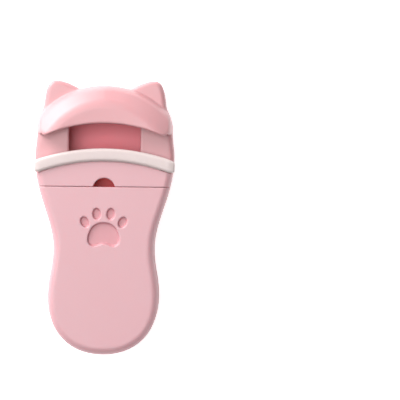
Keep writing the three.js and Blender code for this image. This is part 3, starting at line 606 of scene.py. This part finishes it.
# ---- Geometry Nodes ---------------------------------------------------------
class Recipe:
    """A node group for one piece: named inputs, then nodes, then one geometry output."""

    def __init__(self, name):
        self.tree = bpy.data.node_groups.new(name, "GeometryNodeTree")
        self.tree.is_modifier = True
        self.values = {}
        for socket, in_out in (("Geometry", "OUTPUT"), ("Places", "INPUT")):
            self.tree.interface.new_socket(
                name=socket, in_out=in_out, socket_type="NodeSocketGeometry"
            )
        self.inputs = self.tree.nodes.new("NodeGroupInput")

    def input(self, name, value, kind="Float"):
        """A named input, set on the modifier; returns its socket in the tree."""
        socket = self.tree.interface.new_socket(
            name=name, in_out="INPUT", socket_type="NodeSocket" + kind
        )
        self.values[socket.identifier] = value
        return self.inputs.outputs[name]

    def add(self, kind, inputs=None, **settings):
        return add(self.tree, kind, inputs, **settings)

    def math(self, operation, a, b=0.0):
        return self.add("ShaderNodeMath", {0: a, 1: b}, operation=operation)

    def times(self, a, b):
        return self.math("MULTIPLY", a, b)

    def plus(self, a, b):
        return self.math("ADD", a, b)

    def minus(self, a, b):
        return self.math("SUBTRACT", a, b)

    def vector(self, x=0.0, y=0.0, z=0.0):
        return self.add("ShaderNodeCombineXYZ", {"X": x, "Y": y, "Z": z})

    def choose(self, values):
        """The value at each point's own index."""
        node = self.tree.nodes.new("GeometryNodeIndexSwitch")
        node.data_type = "FLOAT"
        while len(node.index_switch_items) < len(values):
            node.index_switch_items.new()
        self.tree.links.new(self.add("GeometryNodeInputIndex").outputs[0], node.inputs["Index"])
        for i, value in enumerate(values):
            if isinstance(value, (bpy.types.Node, bpy.types.NodeSocket)):
                source = value.outputs[0] if isinstance(value, bpy.types.Node) else value
                self.tree.links.new(source, node.inputs[str(i)])
            else:
                node.inputs[str(i)].default_value = value
        return node.outputs[0]

    def circle(self, radius, sides):
        size = {"Resolution": sides, "Radius": radius}
        return self.add("GeometryNodeCurvePrimitiveCircle", size).outputs["Curve"]

    def eased_box(self, width, height, radius, count):
        """A rectangular section with round corners."""
        sides = {"Width": width, "Height": height}
        section = self.add("GeometryNodeCurvePrimitiveQuadrilateral", sides)
        corners = {"Curve": section, "Radius": radius, "Count": count}
        return self.add("GeometryNodeFilletCurve", corners, mode="POLY")

    def sweep(self, curve, section, **inputs):
        """A closed solid along a curve."""
        both = {"Curve": curve, "Profile Curve": section, "Fill Caps": True}
        return self.add("GeometryNodeCurveToMesh", {**both, **inputs})

    def turned(self, rings, sides=36):
        """A solid of revolution about Z from (radius, height) pairs, its low end first."""
        line = self.add("GeometryNodeMeshLine", {"Count": len(rings)})
        height = self.choose([h for _, h in rings])
        raised = {"Geometry": line, "Position": self.vector(z=height)}
        moved = self.add("GeometryNodeSetPosition", raised)
        curve = self.add("GeometryNodeMeshToCurve", {"Mesh": moved})
        return self.sweep(curve, self.circle(1.0, sides), Scale=self.choose([r for r, _ in rings]))

    def move(self, geometry, translation=(0, 0, 0), rotation=(0, 0, 0)):
        return self.add(
            "GeometryNodeTransform",
            {"Geometry": geometry, "Translation": translation, "Rotation": rotation},
        )

    def copies(self, one, **inputs):
        """The same solid at each of the places."""
        places = self.inputs.outputs["Places"]
        return self.add(
            "GeometryNodeInstanceOnPoints", {"Points": places, "Instance": one, **inputs}
        )

    def joined(self, *parts):
        return self.add("GeometryNodeJoinGeometry", {"Geometry": list(parts)})

    def finish(self, geometry, slot, sharp=35):
        """Ends the tree: real geometry, smooth but for its sharp edges, and its material."""
        real = self.add("GeometryNodeRealizeInstances", {"Geometry": geometry})
        smooth = self.add("GeometryNodeSetShadeSmooth", {"Geometry": real})
        angle = self.add("GeometryNodeInputMeshEdgeAngle")
        hard = self.add(
            "FunctionNodeCompare",
            {0: angle.outputs["Unsigned Angle"], 1: math.radians(sharp)},
            operation="GREATER_THAN",
            data_type="FLOAT",
        )
        edges = self.add(
            "GeometryNodeSetShadeSmooth",
            {"Geometry": smooth, "Selection": hard.outputs[0], "Shade Smooth": False},
            domain="EDGE",
        )
        finish = self.input("Material", finish_of(slot), "Material")
        done = self.add("GeometryNodeSetMaterial", {"Geometry": edges, "Material": finish})
        self.add("NodeGroupOutput", {"Geometry": done})

    def piece(self, name, places, body, slot, nodes):
        """The tree's result as one plain mesh on a body, in place of CAD nodes."""
        mesh = bpy.data.meshes.new(name)
        mesh.from_pydata([tuple(Vector(p) * MM) for p in places], [], [])
        made = bpy.data.objects.new(name, mesh)
        bpy.context.scene.collection.objects.link(made)
        modifier = made.modifiers.new("Recipe", "NODES")
        modifier.node_group = self.tree
        for identifier, value in self.values.items():
            modifier[identifier] = value
        bpy.context.view_layer.update()
        depsgraph = bpy.context.evaluated_depsgraph_get()
        result = bpy.data.meshes.new_from_object(made.evaluated_get(depsgraph))
        made.modifiers.clear()
        made.data = result
        result.name = name
        if not result.polygons:
            raise RuntimeError(f"{name} came out empty")
        place(made, body, nodes)
        return made


def screws(name, nodes, body, hardware):
    """Cross-recessed thread-forming screws, their heads at the low end, one at each CAD screw."""
    boxes = [cad(n) for n in nodes]
    low, high = boxes[0]
    head_radius = (high[0] - low[0]) / 2
    small = head_radius < 2
    shank_radius = 0.8 if small else 1.1
    head_height = 0.9 if small else 1.3
    recipe = Recipe(name)
    head = recipe.input("Head Radius", head_radius * MM)
    shank = recipe.input("Shank Radius", shank_radius * MM)
    tall = recipe.input("Head Height", head_height * MM)
    whole = recipe.input("Length", (high[2] - low[2]) * MM)
    pitch = recipe.input("Thread Pitch", hardware.thread_pitch)
    recess = recipe.input("Recess Width", hardware.recess)
    seed = recipe.input("Seed", hardware.seed, "Int")
    core = recipe.times(shank, 0.8)
    solid = recipe.turned(
        [
            (recipe.times(head, 0.72), 0.0),
            (recipe.times(head, 0.9), recipe.times(tall, 0.1)),
            (recipe.times(head, 0.98), recipe.times(tall, 0.3)),
            (head, recipe.times(tall, 0.55)),
            (head, recipe.times(tall, 0.93)),
            (recipe.times(head, 0.96), tall),
            (core, recipe.times(tall, 1.01)),
            (core, recipe.minus(whole, 0.5 * MM)),
            (recipe.times(core, 0.55), whole),
        ]
    )
    slot_length = recipe.times(head, 1.15)
    slot_depth = recipe.times(tall, 1.1)
    bars = []
    for size in (
        recipe.vector(slot_length, recess, slot_depth),
        recipe.vector(recess, slot_length, slot_depth),
    ):
        bars.append(recipe.add("GeometryNodeMeshCube", {"Size": size}).outputs["Mesh"])
    cutter = recipe.add(
        "GeometryNodeMeshBoolean", {"Mesh 2": bars}, operation="UNION", solver="EXACT"
    )
    crossed = recipe.add(
        "GeometryNodeMeshBoolean",
        {"Mesh 1": solid, "Mesh 2": [cutter.outputs["Mesh"]]},
        operation="DIFFERENCE",
        solver="EXACT",
    )
    run = recipe.minus(recipe.minus(whole, tall), 1.0 * MM)
    spiral = recipe.add(
        "GeometryNodeCurveSpiral",
        {
            "Resolution": 20,
            "Rotations": recipe.math("DIVIDE", run, pitch),
            "Start Radius": core,
            "End Radius": core,
            "Height": run,
        },
    )
    thread = recipe.sweep(spiral, recipe.circle(recipe.minus(shank, core), 3))
    lifted = recipe.move(thread, recipe.vector(z=recipe.plus(tall, 0.35 * MM)))
    one = recipe.joined(crossed.outputs["Mesh"], lifted.outputs[0])
    turn = recipe.add(
        "FunctionNodeRandomValue",
        {"Min": (0, 0, 0), "Max": (0, 0, math.pi), "Seed": seed},
        data_type="FLOAT_VECTOR",
    )
    recipe.finish(recipe.copies(one, Rotation=turn.outputs["Value"]), "steel")
    places = [((a[0] + b[0]) / 2, (a[1] + b[1]) / 2, a[2]) for a, b in boxes]
    return recipe.piece(name, places, body, "steel", nodes)


def pins(name, nodes, body):
    """Ground pins along X with chamfered ends, one at each CAD pin."""
    boxes = [cad(n) for n in nodes]
    low, high = boxes[0]
    recipe = Recipe(name)
    radius = recipe.input("Radius", (high[2] - low[2]) / 2 * MM)
    whole = recipe.input("Length", (high[0] - low[0]) * MM)
    chamfer = recipe.input("Chamfer", 0.25 * MM)
    end = recipe.minus(radius, chamfer)
    solid = recipe.turned(
        [(end, 0.0), (radius, chamfer), (radius, recipe.minus(whole, chamfer)), (end, whole)]
    )
    lying = recipe.move(solid, rotation=(0, math.pi / 2, 0))
    recipe.finish(recipe.copies(lying), "steel")
    places = [(a[0], (a[1] + b[1]) / 2, (a[2] + b[2]) / 2) for a, b in boxes]
    return recipe.piece(name, places, body, "steel", nodes)


def rings(name, nodes, body, hole):
    """Thin retaining washers round a pin along X, with their edges broken."""
    boxes = [cad(n) for n in nodes]
    low, high = boxes[0]
    recipe = Recipe(name)
    outer = recipe.input("Outer Radius", (high[2] - low[2]) / 2 * MM)
    inner = recipe.input("Inner Radius", hole * MM)
    thick = recipe.input("Thickness", (high[0] - low[0]) * MM)
    width = recipe.minus(outer, inner)
    middle = recipe.plus(inner, recipe.times(width, 0.5))
    section = recipe.eased_box(width, thick, 0.1 * MM, 3)
    ring = recipe.sweep(recipe.circle(middle, 48), section)
    lying = recipe.move(ring, rotation=(0, math.pi / 2, 0))
    recipe.finish(recipe.copies(lying), "steel")
    places = [tuple((a + b) / 2) for a, b in boxes]
    return recipe.piece(name, places, body, "steel", nodes)


def springs(name, nodes, body, hardware):
    """Torsion springs round the pivot pins: one leg on the lever's frame, the other on the back."""
    low, high = cad("return_spring_right")
    recipe = Recipe(name)
    wire = recipe.input("Wire Radius", hardware.wire)
    coil = recipe.input("Coil Radius", hardware.coil)
    turns = recipe.input("Turns", hardware.turns, "Int")
    pitch = recipe.input("Pitch", 0.8 * MM)
    wire_mm, coil_mm = hardware.wire / MM, hardware.coil / MM
    # The first leg leaves the coil where its straight run to the frame touches it.
    reach_y = low[1] + wire_mm - PIVOT_Y
    frame_wall, seat = 1.2, 0.4
    reach_z = cad("lever_frame")[1][2] - frame_wall - wire_mm - seat - PIVOT_Z
    far = math.hypot(reach_y, reach_z)
    start = math.atan2(reach_z, reach_y) - math.acos(coil_mm / far)
    leg_y, leg_z = reach_y - coil_mm * math.cos(start), reach_z - coil_mm * math.sin(start)
    line = recipe.add("GeometryNodeCurvePrimitiveLine", {"End": (1, 0, 0)})
    points = recipe.add("GeometryNodeResampleCurve", {"Curve": line, "Count": 170})
    along = recipe.add("GeometryNodeSplineParameter").outputs["Factor"]
    first, last = 0.08, 0.92  # shares of the wire where the coil starts and ends

    def share(begin, end):
        return recipe.add(
            "ShaderNodeMapRange",
            {"Value": along, "From Min": begin, "From Max": end, "To Min": 0.0, "To Max": 1.0},
        )

    whole_turns = recipe.times(turns, 2 * math.pi)
    total = recipe.plus(whole_turns, start)
    angle = recipe.times(share(first, last), total)
    facing = recipe.minus(start, angle)
    before = recipe.minus(1.0, share(0.0, first))
    after = share(last, 1.0)
    across = recipe.math("DIVIDE", recipe.times(angle, pitch), 2 * math.pi)
    x = recipe.minus(high[0] * MM - hardware.wire, across)
    y_coil = recipe.times(coil, recipe.math("COSINE", facing))
    z_coil = recipe.times(coil, recipe.math("SINE", facing))
    y = recipe.plus(y_coil, recipe.times(before, leg_y * MM))
    down = (low[2] + wire_mm - PIVOT_Z) * MM
    z_leg = recipe.plus(z_coil, recipe.times(before, leg_z * MM))
    z = recipe.plus(z_leg, recipe.times(after, down))
    y_placed = recipe.plus(y, PIVOT_Y * MM)
    z_placed = recipe.plus(z, PIVOT_Z * MM)
    section = recipe.circle(wire, 12)
    both = []
    for side in (-1, 1):
        there = recipe.vector(recipe.times(x, side), y_placed, z_placed)
        bent = recipe.add("GeometryNodeSetPosition", {"Geometry": points, "Position": there})
        both.append(recipe.sweep(bent, section))
    recipe.finish(recipe.joined(*both), "steel", sharp=60)
    return recipe.piece(name, [(0, 0, 0)], body, "steel", nodes)


def lash_pad():
    """Silicone pad: a bar that narrows at its round ends, bent to the lash line's arc."""
    low, high = PAD_LOW, PAD_HIGH
    recipe = Recipe("lash_pad")
    radius = recipe.input("Arc Radius", (PAD_RADIUS - PAD_HEIGHT / 2) * MM)
    half = recipe.input("Half Width", high[0] * MM)
    height = recipe.input("Height", PAD_HEIGHT * MM)
    depth = recipe.input("Depth", (high[2] - low[2]) * MM)
    corner = recipe.input("Corner Radius", 1.0 * MM)
    taper = recipe.input("End Taper", 2.6 * MM)

    def bar(half_width, section_height, section_depth, corner_radius, count):
        ends = {
            "Start": recipe.vector(recipe.times(half_width, -1.0)),
            "End": recipe.vector(half_width),
        }
        line = recipe.add("GeometryNodeCurvePrimitiveLine", ends)
        path = recipe.add("GeometryNodeResampleCurve", {"Curve": line, "Count": count})
        section = recipe.eased_box(section_height, section_depth, corner_radius, 8)
        return recipe.sweep(path, section)

    def position():
        where = recipe.add("GeometryNodeInputPosition")
        return recipe.add("ShaderNodeSeparateXYZ", {"Vector": where}).outputs

    full = bar(half, height, depth, corner, 240)
    # The section shrinks along a quarter circle towards each end, mostly from below.
    at = position()
    inward = recipe.minus(half, recipe.math("ABSOLUTE", at["X"]))
    nearer = recipe.math("MAXIMUM", recipe.math("DIVIDE", inward, taper), 0.0)
    left = recipe.minus(1.0, recipe.math("MINIMUM", nearer, 1.0))
    fall = recipe.minus(1.0, recipe.times(left, left))
    share = recipe.plus(recipe.times(recipe.math("SQRT", fall), 0.42), 0.58)
    anchor = recipe.times(height, 0.22)
    above = recipe.times(recipe.minus(at["Y"], anchor), share)
    rounded_y = recipe.plus(above, anchor)
    rounded = recipe.vector(at["X"], rounded_y, recipe.times(at["Z"], share))
    band = recipe.add("GeometryNodeSetPosition", {"Geometry": full, "Position": rounded})
    tongue = bar((high[0] - 4.4) * MM, 1.2 * MM, 1.2 * MM, 0.2 * MM, 60)
    dropped = recipe.move(tongue, (0, -(PAD_HEIGHT / 2 + 0.4) * MM, 0))
    straight = recipe.joined(band, dropped)
    place_at = position()
    out = recipe.plus(radius, place_at["Y"])
    squared = recipe.times(out, out)
    across = recipe.times(place_at["X"], place_at["X"])
    bent_y = recipe.math("SQRT", recipe.minus(squared, across))
    there = recipe.vector(place_at["X"], bent_y, place_at["Z"])
    bent = recipe.add("GeometryNodeSetPosition", {"Geometry": straight, "Position": there})
    middle_z = (low[2] + high[2]) / 2
    placed = recipe.move(bent, (0, (high[1] - PAD_RADIUS) * MM, middle_z * MM))
    recipe.finish(placed, "silicone", sharp=50)
    return recipe.piece("lash_pad", [(0, 0, 0)], "jaw", "silicone", ["lash_pad"])


# ---- Moulded pieces ---------------------------------------------------------
def front_shell(outline_sizes, shells):
    """Head with ears, cheeks and hood, open behind the window and below."""
    outline = whole_outline(outline_sizes)
    cheek_half = HEAD_HALF - outline_sizes.cheek_inset
    hood_half = cheek_half - GAP
    crown_radius = cheek_half + 6.4
    crown_y = EAR_Y - 1.6 - crown_radius
    lip_y = EAR_Y - 13.6
    lip_radius = 46.4
    chamber_y = lip_y + 1.0
    inner_z = CHEEK_Z - shells.cheek_wall
    heel_y, shelf_y, shelf_z = PIVOT_Y - 11, LEVER_TOP_Y + GAP, LEVER_BACK_Z - 2 * GAP
    lean = np.array([PIVOT_Y - 1.6 - heel_y, shelf_z - SPLIT_Z + 1])
    lean /= np.hypot(*lean)
    lug_x = WINDOW_HALF + 1.7 + 0.6
    pivot_boss, pivot_hole, screw_pillar, bore_depth = 2.4, 1.4, 2.4, 9

    def distance(x, y, z):
        side = polygon(x, y, outline)
        head = meet(side, z - CHEEK_Z, shells.cheek_edge)
        head = meet(head, SPLIT_Z - z, shells.fine_edge)
        chamber = meet(meet(side + shells.wall, z - inner_z, 0.6), y - chamber_y, 0.6)
        window = meet(np.abs(x) - WINDOW_HALF, y - chamber_y, 0.6)
        head = cut(cut(head, chamber, 0.1), window, 0.4)
        across = np.abs(x) / hood_half
        face = z - HOOD_Z + shells.dish * (1 - np.minimum(across, 1.05) ** 2)
        rim = post(x, y, 0, crown_y, crown_radius)
        wide = shells.crown_fold + (shells.side_fold - shells.crown_fold) * across
        drop = shells.crown_drop + (shells.side_drop - shells.crown_drop) * across
        band = ((rim + wide) * drop + face * wide) / np.hypot(wide, drop)
        crown = meet(meet(band, face, 1.0), rim, 2.0)
        lip = -post(x, y, 0, lip_y - lip_radius, lip_radius)
        skirt = meet(np.abs(x) - hood_half, lip, 3.0)
        edge = 0.45 + 1.3 * np.clip((across - 0.85) / 0.15, 0, 1)
        hood = meet(meet(crown, skirt, edge), inner_z - z)
        ledge = post(x, y, 0, LEDGE_Y - PAD_RADIUS, PAD_RADIUS)
        hood = cut(hood, meet(ledge, z - (HOOD_Z - shells.lip)), 0.2)
        head = join(head, hood, 0.45)
        for x_post in (-1, 1):
            along = x_post * x
            around = post(y, z, PIVOT_Y, PIVOT_Z, pivot_boss)
            boss = np.maximum(around, between(along, lug_x + 2.3, 19.2))
            head = join(head, np.maximum(boss, side + GAP), 0.3)
        for node in CASE_SCREWS:
            at = centre(node)
            upright = between(z, SPLIT_Z, inner_z + 0.2)
            pillar = meet(post(x, y, at[0], at[1], screw_pillar), upright, 0.1)
            head = join(head, np.maximum(pillar, side + GAP), 0.3)
        for node in CASE_SCREWS:
            at = centre(node)
            bore = meet(post(x, y, at[0], at[1], CASE_BORE), z - (SPLIT_Z + bore_depth), 0.1)
            head = cut(head, bore, 0.15)
        behind = (z - SPLIT_Z + 1) * lean[0] - (y - heel_y) * lean[1]
        shelf = join(z - shelf_z, shelf_y - y, 0.2)
        head = meet(head, meet(behind, shelf, 1.2), 0.3)
        hole = post(y, z, PIVOT_Y, PIVOT_Z, pivot_hole)
        pivot = meet(hole, between(np.abs(x), lug_x, lug_x + 5.1))
        return cut(head, pivot, 0.1)

    step = shells.shell_step
    return moulded_piece(
        "front_shell",
        distance,
        steps(-22.6, (22.6, step)),
        steps(heel_y - 0.6, (EAR_Y + 0.5, step)),
        steps(SPLIT_Z - 0.4, (19.2, step * 1.3), (HOOD_Z + 0.3, 0.24)),
        "body",
        "shell_pink",
    )


def back_shell(outline_sizes, shells):
    """Tray with guide rails, stiffening ribs and countersunk screw bosses."""
    outline = whole_outline(outline_sizes)
    floor, rail, rib = 1.8, 5.8, 1.2  # floor's thickness, rails' inner face, rails' thickness
    rails_low_y, rails_high_y = PIVOT_Y - 2, 19.0
    stiff_low_y, stiff_high_y = DRIVE_Y - 16.4, DRIVE_Y - 8.4
    cross_half, cross_y = 15.7, DRIVE_Y - 11.0
    boss_radius, sink_radius, sink_depth = 3.4, 2.35, 1.9

    def distance(x, y, z):
        side = polygon(x, y, outline)
        tray = meet(meet(side, -z, shells.back_edge), z - BACK_DEPTH, shells.fine_edge)
        hollow = meet(side + shells.wall + 0.2, floor - z, 0.6)
        tray = cut(tray, hollow, 0.2)
        beside = between(np.abs(x), rail, rail + rib)
        guides = meet(beside, between(y, rails_low_y, rails_high_y), 0.3)
        guides = meet(guides, between(z, floor - 0.5, RAIL_TOP_Z), 0.3)
        stiff = np.maximum(beside, between(y, stiff_low_y, stiff_high_y))
        cross = np.maximum(np.abs(x) - cross_half, between(y, cross_y, cross_y + rib))
        ribs = meet(join(stiff, cross, 0.3), between(z, floor - 0.5, BACK_DEPTH - 0.4), 0.2)
        tray = join(join(tray, guides, 0.3), ribs, 0.3)
        for node in CASE_SCREWS:
            at = centre(node)
            upright = between(z, floor - 0.5, BACK_DEPTH)
            boss = meet(post(x, y, at[0], at[1], boss_radius), upright, 0.2)
            tray = join(tray, np.maximum(boss, side + 0.2), 0.3)
        for node in CASE_SCREWS:
            at = centre(node)
            tray = cut(tray, post(x, y, at[0], at[1], CASE_BORE), 0.1)
            tray = cut(tray, meet(post(x, y, at[0], at[1], sink_radius), z - sink_depth), 0.25)
        return tray

    step = shells.shell_step
    return moulded_piece(
        "back_shell",
        distance,
        steps(-22.6, (22.6, step)),
        steps(END_Y - 0.5, (EAR_Y + 0.5, step * 1.15)),
        steps(-0.3, (BACK_DEPTH + 0.3, step), (RAIL_TOP_Z + 0.4, 0.7)),
        "body",
        "shell_pink",
    )


def press_lever(outline_sizes, shells):
    """Hollow thumb lever with a paw print sunk in its face."""
    outline = whole_outline(outline_sizes)
    paw = paw_outlines()
    neck_y = END_Y + outline_sizes.neck_rise
    skin_z = FRONT_Z - shells.wall
    slope = 3 / 34.8  # of the back edge, from the neck to the handle's end
    lug_half, boss_radius, far = 15.9, 1.9, 9.0

    def distance(x, y, z):
        side = polygon(x, y, outline)
        lever = meet(side, z - FRONT_Z, shells.front_edge)
        lever = meet(lever, y - LEVER_TOP_Y - shells.seam_fill, shells.seam_edge)
        rise = np.maximum(neck_y - y, 0) * slope
        room = meet(meet(side + shells.wall, z - skin_z, 0.8), y - (LEVER_TOP_Y - shells.wall), 0.8)
        lever = cut(lever, room, 0.1)
        lever = meet(lever, LEVER_BACK_Z + rise - z, 0.3)
        lugs = meet(np.abs(x) - lug_half, z - (PIVOT_Z + 3.5), 0.2)
        lever = cut(lever, np.maximum(lugs, LEVER_TOP_Y - shells.wall - 1 - y), 0.2)
        for node in LEVER_SCREWS:
            at = centre(node)
            upright = between(z, skin_z - 1.5, skin_z + 0.5)
            boss = meet(post(x, y, at[0], at[1], boss_radius), upright, 0.15)
            lever = join(lever, boss, 0.3)
        for node in LEVER_SCREWS:
            at = centre(node)
            lever = cut(lever, meet(post(x, y, at[0], at[1], SMALL_BORE), z - skin_z - 0.7), 0.1)
        near = np.full(np.broadcast(x, y).shape, far)
        for sunk_outline in paw:
            near = np.minimum(near, polygon(x, y, sunk_outline))
        pit = meet(near, FRONT_Z - shells.paw_depth - z, 0.5)
        return cut(lever, pit, 0.35)

    fine = shells.fine_step
    return moulded_piece(
        "press_lever",
        distance,
        steps(-20.9, (-7.6, 0.36), (7.6, fine), (20.9, 0.36)),
        steps(END_Y - 0.5, (SEAM_Y - 19.6, 0.38), (SEAM_Y - 6.2, fine), (LEVER_TOP_Y + 0.2, 0.3)),
        steps(LEVER_BACK_Z - 0.3, (22.6, 0.45), (FRONT_Z + 0.12, 0.2)),
        "lever",
        "panel_pink",
    )


def slider_plate(outline_sizes, shells):
    """Front of the moving jaw, with the finger notch at the seam and a groove for the pad."""
    outline = whole_outline(outline_sizes)
    top_radius = PAD_RADIUS - PAD_HEIGHT
    top_y = JAW_TOP_Y + GAP - 0.08
    notch_y = JAW_LOW_Y + NOTCH_DEPTH - NOTCH_RADIUS
    groove_half, groove_lip, groove_depth = 18.2, 0.7, 1.0

    def distance(x, y, z):
        side = polygon(x, y, outline)
        plate = meet(side, z - FRONT_Z, shells.front_edge)
        plate = meet(plate, JAW_BACK_Z - z, 0.2)
        plate = meet(plate, JAW_LOW_Y - shells.seam_fill - y, shells.seam_edge)
        plate = meet(plate, post(x, y, 0, top_y - top_radius, top_radius), 0.3)
        inside = between(z, JAW_BACK_Z + groove_lip, FRONT_Z - groove_lip)
        groove = np.maximum(np.abs(x) - groove_half, inside)
        groove = np.maximum(groove, -post(x, y, 0, top_y - groove_depth - top_radius, top_radius))
        plate = cut(plate, groove, 0.1)
        plate = cut(plate, post(x, y, 0, notch_y, NOTCH_RADIUS), 0.3)
        for node in CARRIAGE_SCREWS:
            at = centre(node)
            plate = cut(plate, meet(post(x, y, at[0], at[1], SMALL_BORE), z - (FRONT_Z - 0.9)), 0.1)
        return plate

    fine = shells.fine_step
    return moulded_piece(
        "slider_plate",
        distance,
        steps(-22.4, (22.4, fine)),
        steps(JAW_LOW_Y - 0.2, (top_y + 0.3, fine)),
        steps(JAW_BACK_Z - 0.2, (FRONT_Z + 0.1, fine)),
        "jaw",
        "panel_pink",
    )


def kept_cad():
    """Frame, carriage and card keep their CAD shape, with eased edges and real finishes."""
    kept = {"lever_frame": "acetal", "slider_carriage": "carriage_rose", "window_card": "card_rose"}
    for name, slot in kept.items():
        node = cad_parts[name]
        node.data.materials.clear()
        node.data.materials.append(finish_of(slot))
        bevel = node.modifiers.new("Eased Edges", "BEVEL")
        bevel.width = 0.12 * MM
        bevel.segments = 2
        bevel.limit_method = "ANGLE"
        bevel.angle_limit = math.radians(50)


# ---- Stage ------------------------------------------------------------------
def softbox(name, location, size, watts):
    """An area light that faces the middle of the object."""
    data = bpy.data.lights.new(name, "AREA")
    data.shape = "SQUARE"
    data.size = size
    data.energy = watts
    light = bpy.data.objects.new(name, data)
    light.location = location
    aim = Vector((0, 0, 0.02)) - Vector(location)
    light.rotation_euler = aim.to_track_quat("-Z", "Y").to_euler()
    bpy.context.scene.collection.objects.link(light)


def stage(settings):
    """White floor and room, a broad softbox overhead, a low one at the upper left, and camera."""
    scene = bpy.context.scene
    floor_mesh = bpy.data.meshes.new("floor")
    # The opening under the object lets its flat back be seen from below.
    span, low = 1.5, -0.02 * MM
    corners = [(-span, -span), (span, -span), (span, span), (-span, span)]
    edge = [Vector((x, y, low)) for x, y in corners]
    outline = whole_outline(sizes(scene.curler_outline))
    narrow, short = 0.93 * MM, 0.965 * MM
    opening = [Vector((x * narrow, y * short, low)) for x, y in outline]
    triangles = tessellate_polygon([edge, opening])
    floor_mesh.from_pydata([*edge, *opening], [], [tuple(t) for t in triangles])
    floor = bpy.data.objects.new("floor", floor_mesh)
    scene.collection.objects.link(floor)
    paper, tree = material("White Paper Floor")
    fibres = grain(tree, 0.6, detail=3.0)
    bump = add(tree, "ShaderNodeBump", {"Height": fibres, "Strength": 0.05, "Distance": 0.02 * MM})
    finish_material(
        tree,
        {
            "Base Color": tinted(tree, fibres, linear("FBFBFB"), 0.99, 1.0),
            "Roughness": 0.9,
            "Normal": bump.outputs["Normal"],
            "Emission Color": (1, 1, 1, 1),
            "Emission Strength": settings.glow,
        },
    )
    floor_mesh.materials.append(paper)

    world = bpy.data.worlds.new("White Room")
    scene.world = world
    world.use_nodes = True
    backdrop = world.node_tree.nodes["Background"]
    backdrop.inputs["Color"].default_value = (1, 1, 1, 1)
    backdrop.inputs["Strength"].default_value = settings.world

    softbox("Key Softbox", (-0.36, 0.12, 1.36), 0.9, settings.key)
    softbox("Edge Softbox", (-0.4, 0.46, 0.25), 0.4, settings.edge)

    stage_sizes = sizes(settings)
    data = bpy.data.cameras.new("Camera")
    data.sensor_width = 36
    data.lens = 36 * stage_sizes.distance / stage_sizes.view_width
    data.clip_start, data.clip_end = 0.05, 10
    camera = bpy.data.objects.new("Camera", data)
    camera.location = (settings.aim_x, settings.aim_y, FRONT_Z * MM + settings.distance)
    camera.rotation_euler = (0, 0, settings.roll)
    scene.collection.objects.link(camera)
    scene.camera = camera
    scene.view_settings.view_transform = "Standard"


# ---- Operators --------------------------------------------------------------
def operator(idname, label, doc, work):
    """An operator class that runs work(scene) and lets its errors through."""

    def execute(self, context):
        work(context.scene)
        return {"FINISHED"}

    name = "CURLER_OT_" + idname
    settings = {
        "bl_idname": "curler." + idname,
        "bl_label": label,
        "__doc__": doc,
        "bl_options": {"REGISTER", "UNDO"},
        "execute": execute,
    }
    return type(name, (bpy.types.Operator,), settings)


def make_hardware(scene):
    hardware = scene.curler_hardware
    screws("case_screws", CASE_SCREWS, "body", hardware)
    screws("lever_screws", LEVER_SCREWS, "lever", hardware)
    screws("carriage_screws", CARRIAGE_SCREWS, "jaw", hardware)
    pins("pivot_pins", ["pivot_pin_left", "pivot_pin_right"], "body")
    pins("drive_pin", ["drive_pin"], "jaw")
    rings("drive_pin_rings", ["drive_pin_ring_left", "drive_pin_ring_right"], "jaw", hole=1.05)
    springs("return_springs", ["return_spring_left", "return_spring_right"], "lever", hardware)


def shape_step(make):
    return lambda scene: make(sizes(scene.curler_outline), sizes(scene.curler_shells))


STEPS = [
    ("front_shell", "Front Shell", "Make the head with its ears and hood", shape_step(front_shell)),
    ("back_shell", "Back Shell", "Make the flat back tray", shape_step(back_shell)),
    ("press_lever", "Press Lever", "Make the lever with its paw print", shape_step(press_lever)),
    ("slider_plate", "Jaw Plate", "Make the front of the moving jaw", shape_step(slider_plate)),
    ("lash_pad", "Lash Pad", "Sweep the silicone pad", lambda scene: lash_pad()),
    ("hardware", "Hardware", "Make screws, pins, rings and springs", make_hardware),
    ("kept_cad", "CAD Finishes", "Finish the pieces that stay CAD", lambda scene: kept_cad()),
    ("stage", "Stage", "Set up floor, light, camera", lambda scene: stage(scene.curler_stage)),
]
OPERATORS = [operator(*step) for step in STEPS]


class CURLER_PT_sidebar(bpy.types.Panel):
    """Steps that build the curler, and its sizes."""

    bl_label = "Eyelash Curler"
    bl_idname = "CURLER_PT_sidebar"
    bl_space_type = "VIEW_3D"
    bl_region_type = "UI"
    bl_category = "Curler"

    def draw(self, context):
        for made in OPERATORS:
            self.layout.operator(made.bl_idname)
        for name in GROUPS:
            box = self.layout.box()
            group = getattr(context.scene, name)
            for prop in GROUPS[name].__annotations__:
                box.prop(group, prop)


def register():
    for group in GROUPS.values():
        bpy.utils.register_class(group)
    for name, group in GROUPS.items():
        setattr(bpy.types.Scene, name, PointerProperty(type=group))
    for made in [*OPERATORS, CURLER_PT_sidebar]:
        bpy.utils.register_class(made)


def unregister():
    for made in reversed([*OPERATORS, CURLER_PT_sidebar]):
        bpy.utils.unregister_class(made)
    for name, group in GROUPS.items():
        delattr(bpy.types.Scene, name)
        bpy.utils.unregister_class(group)


def main():
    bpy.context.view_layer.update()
    register()
    for made in OPERATORS:
        _, name = made.bl_idname.split(".")
        getattr(bpy.ops.curler, name)()


if __name__ == "__main__":
    main()
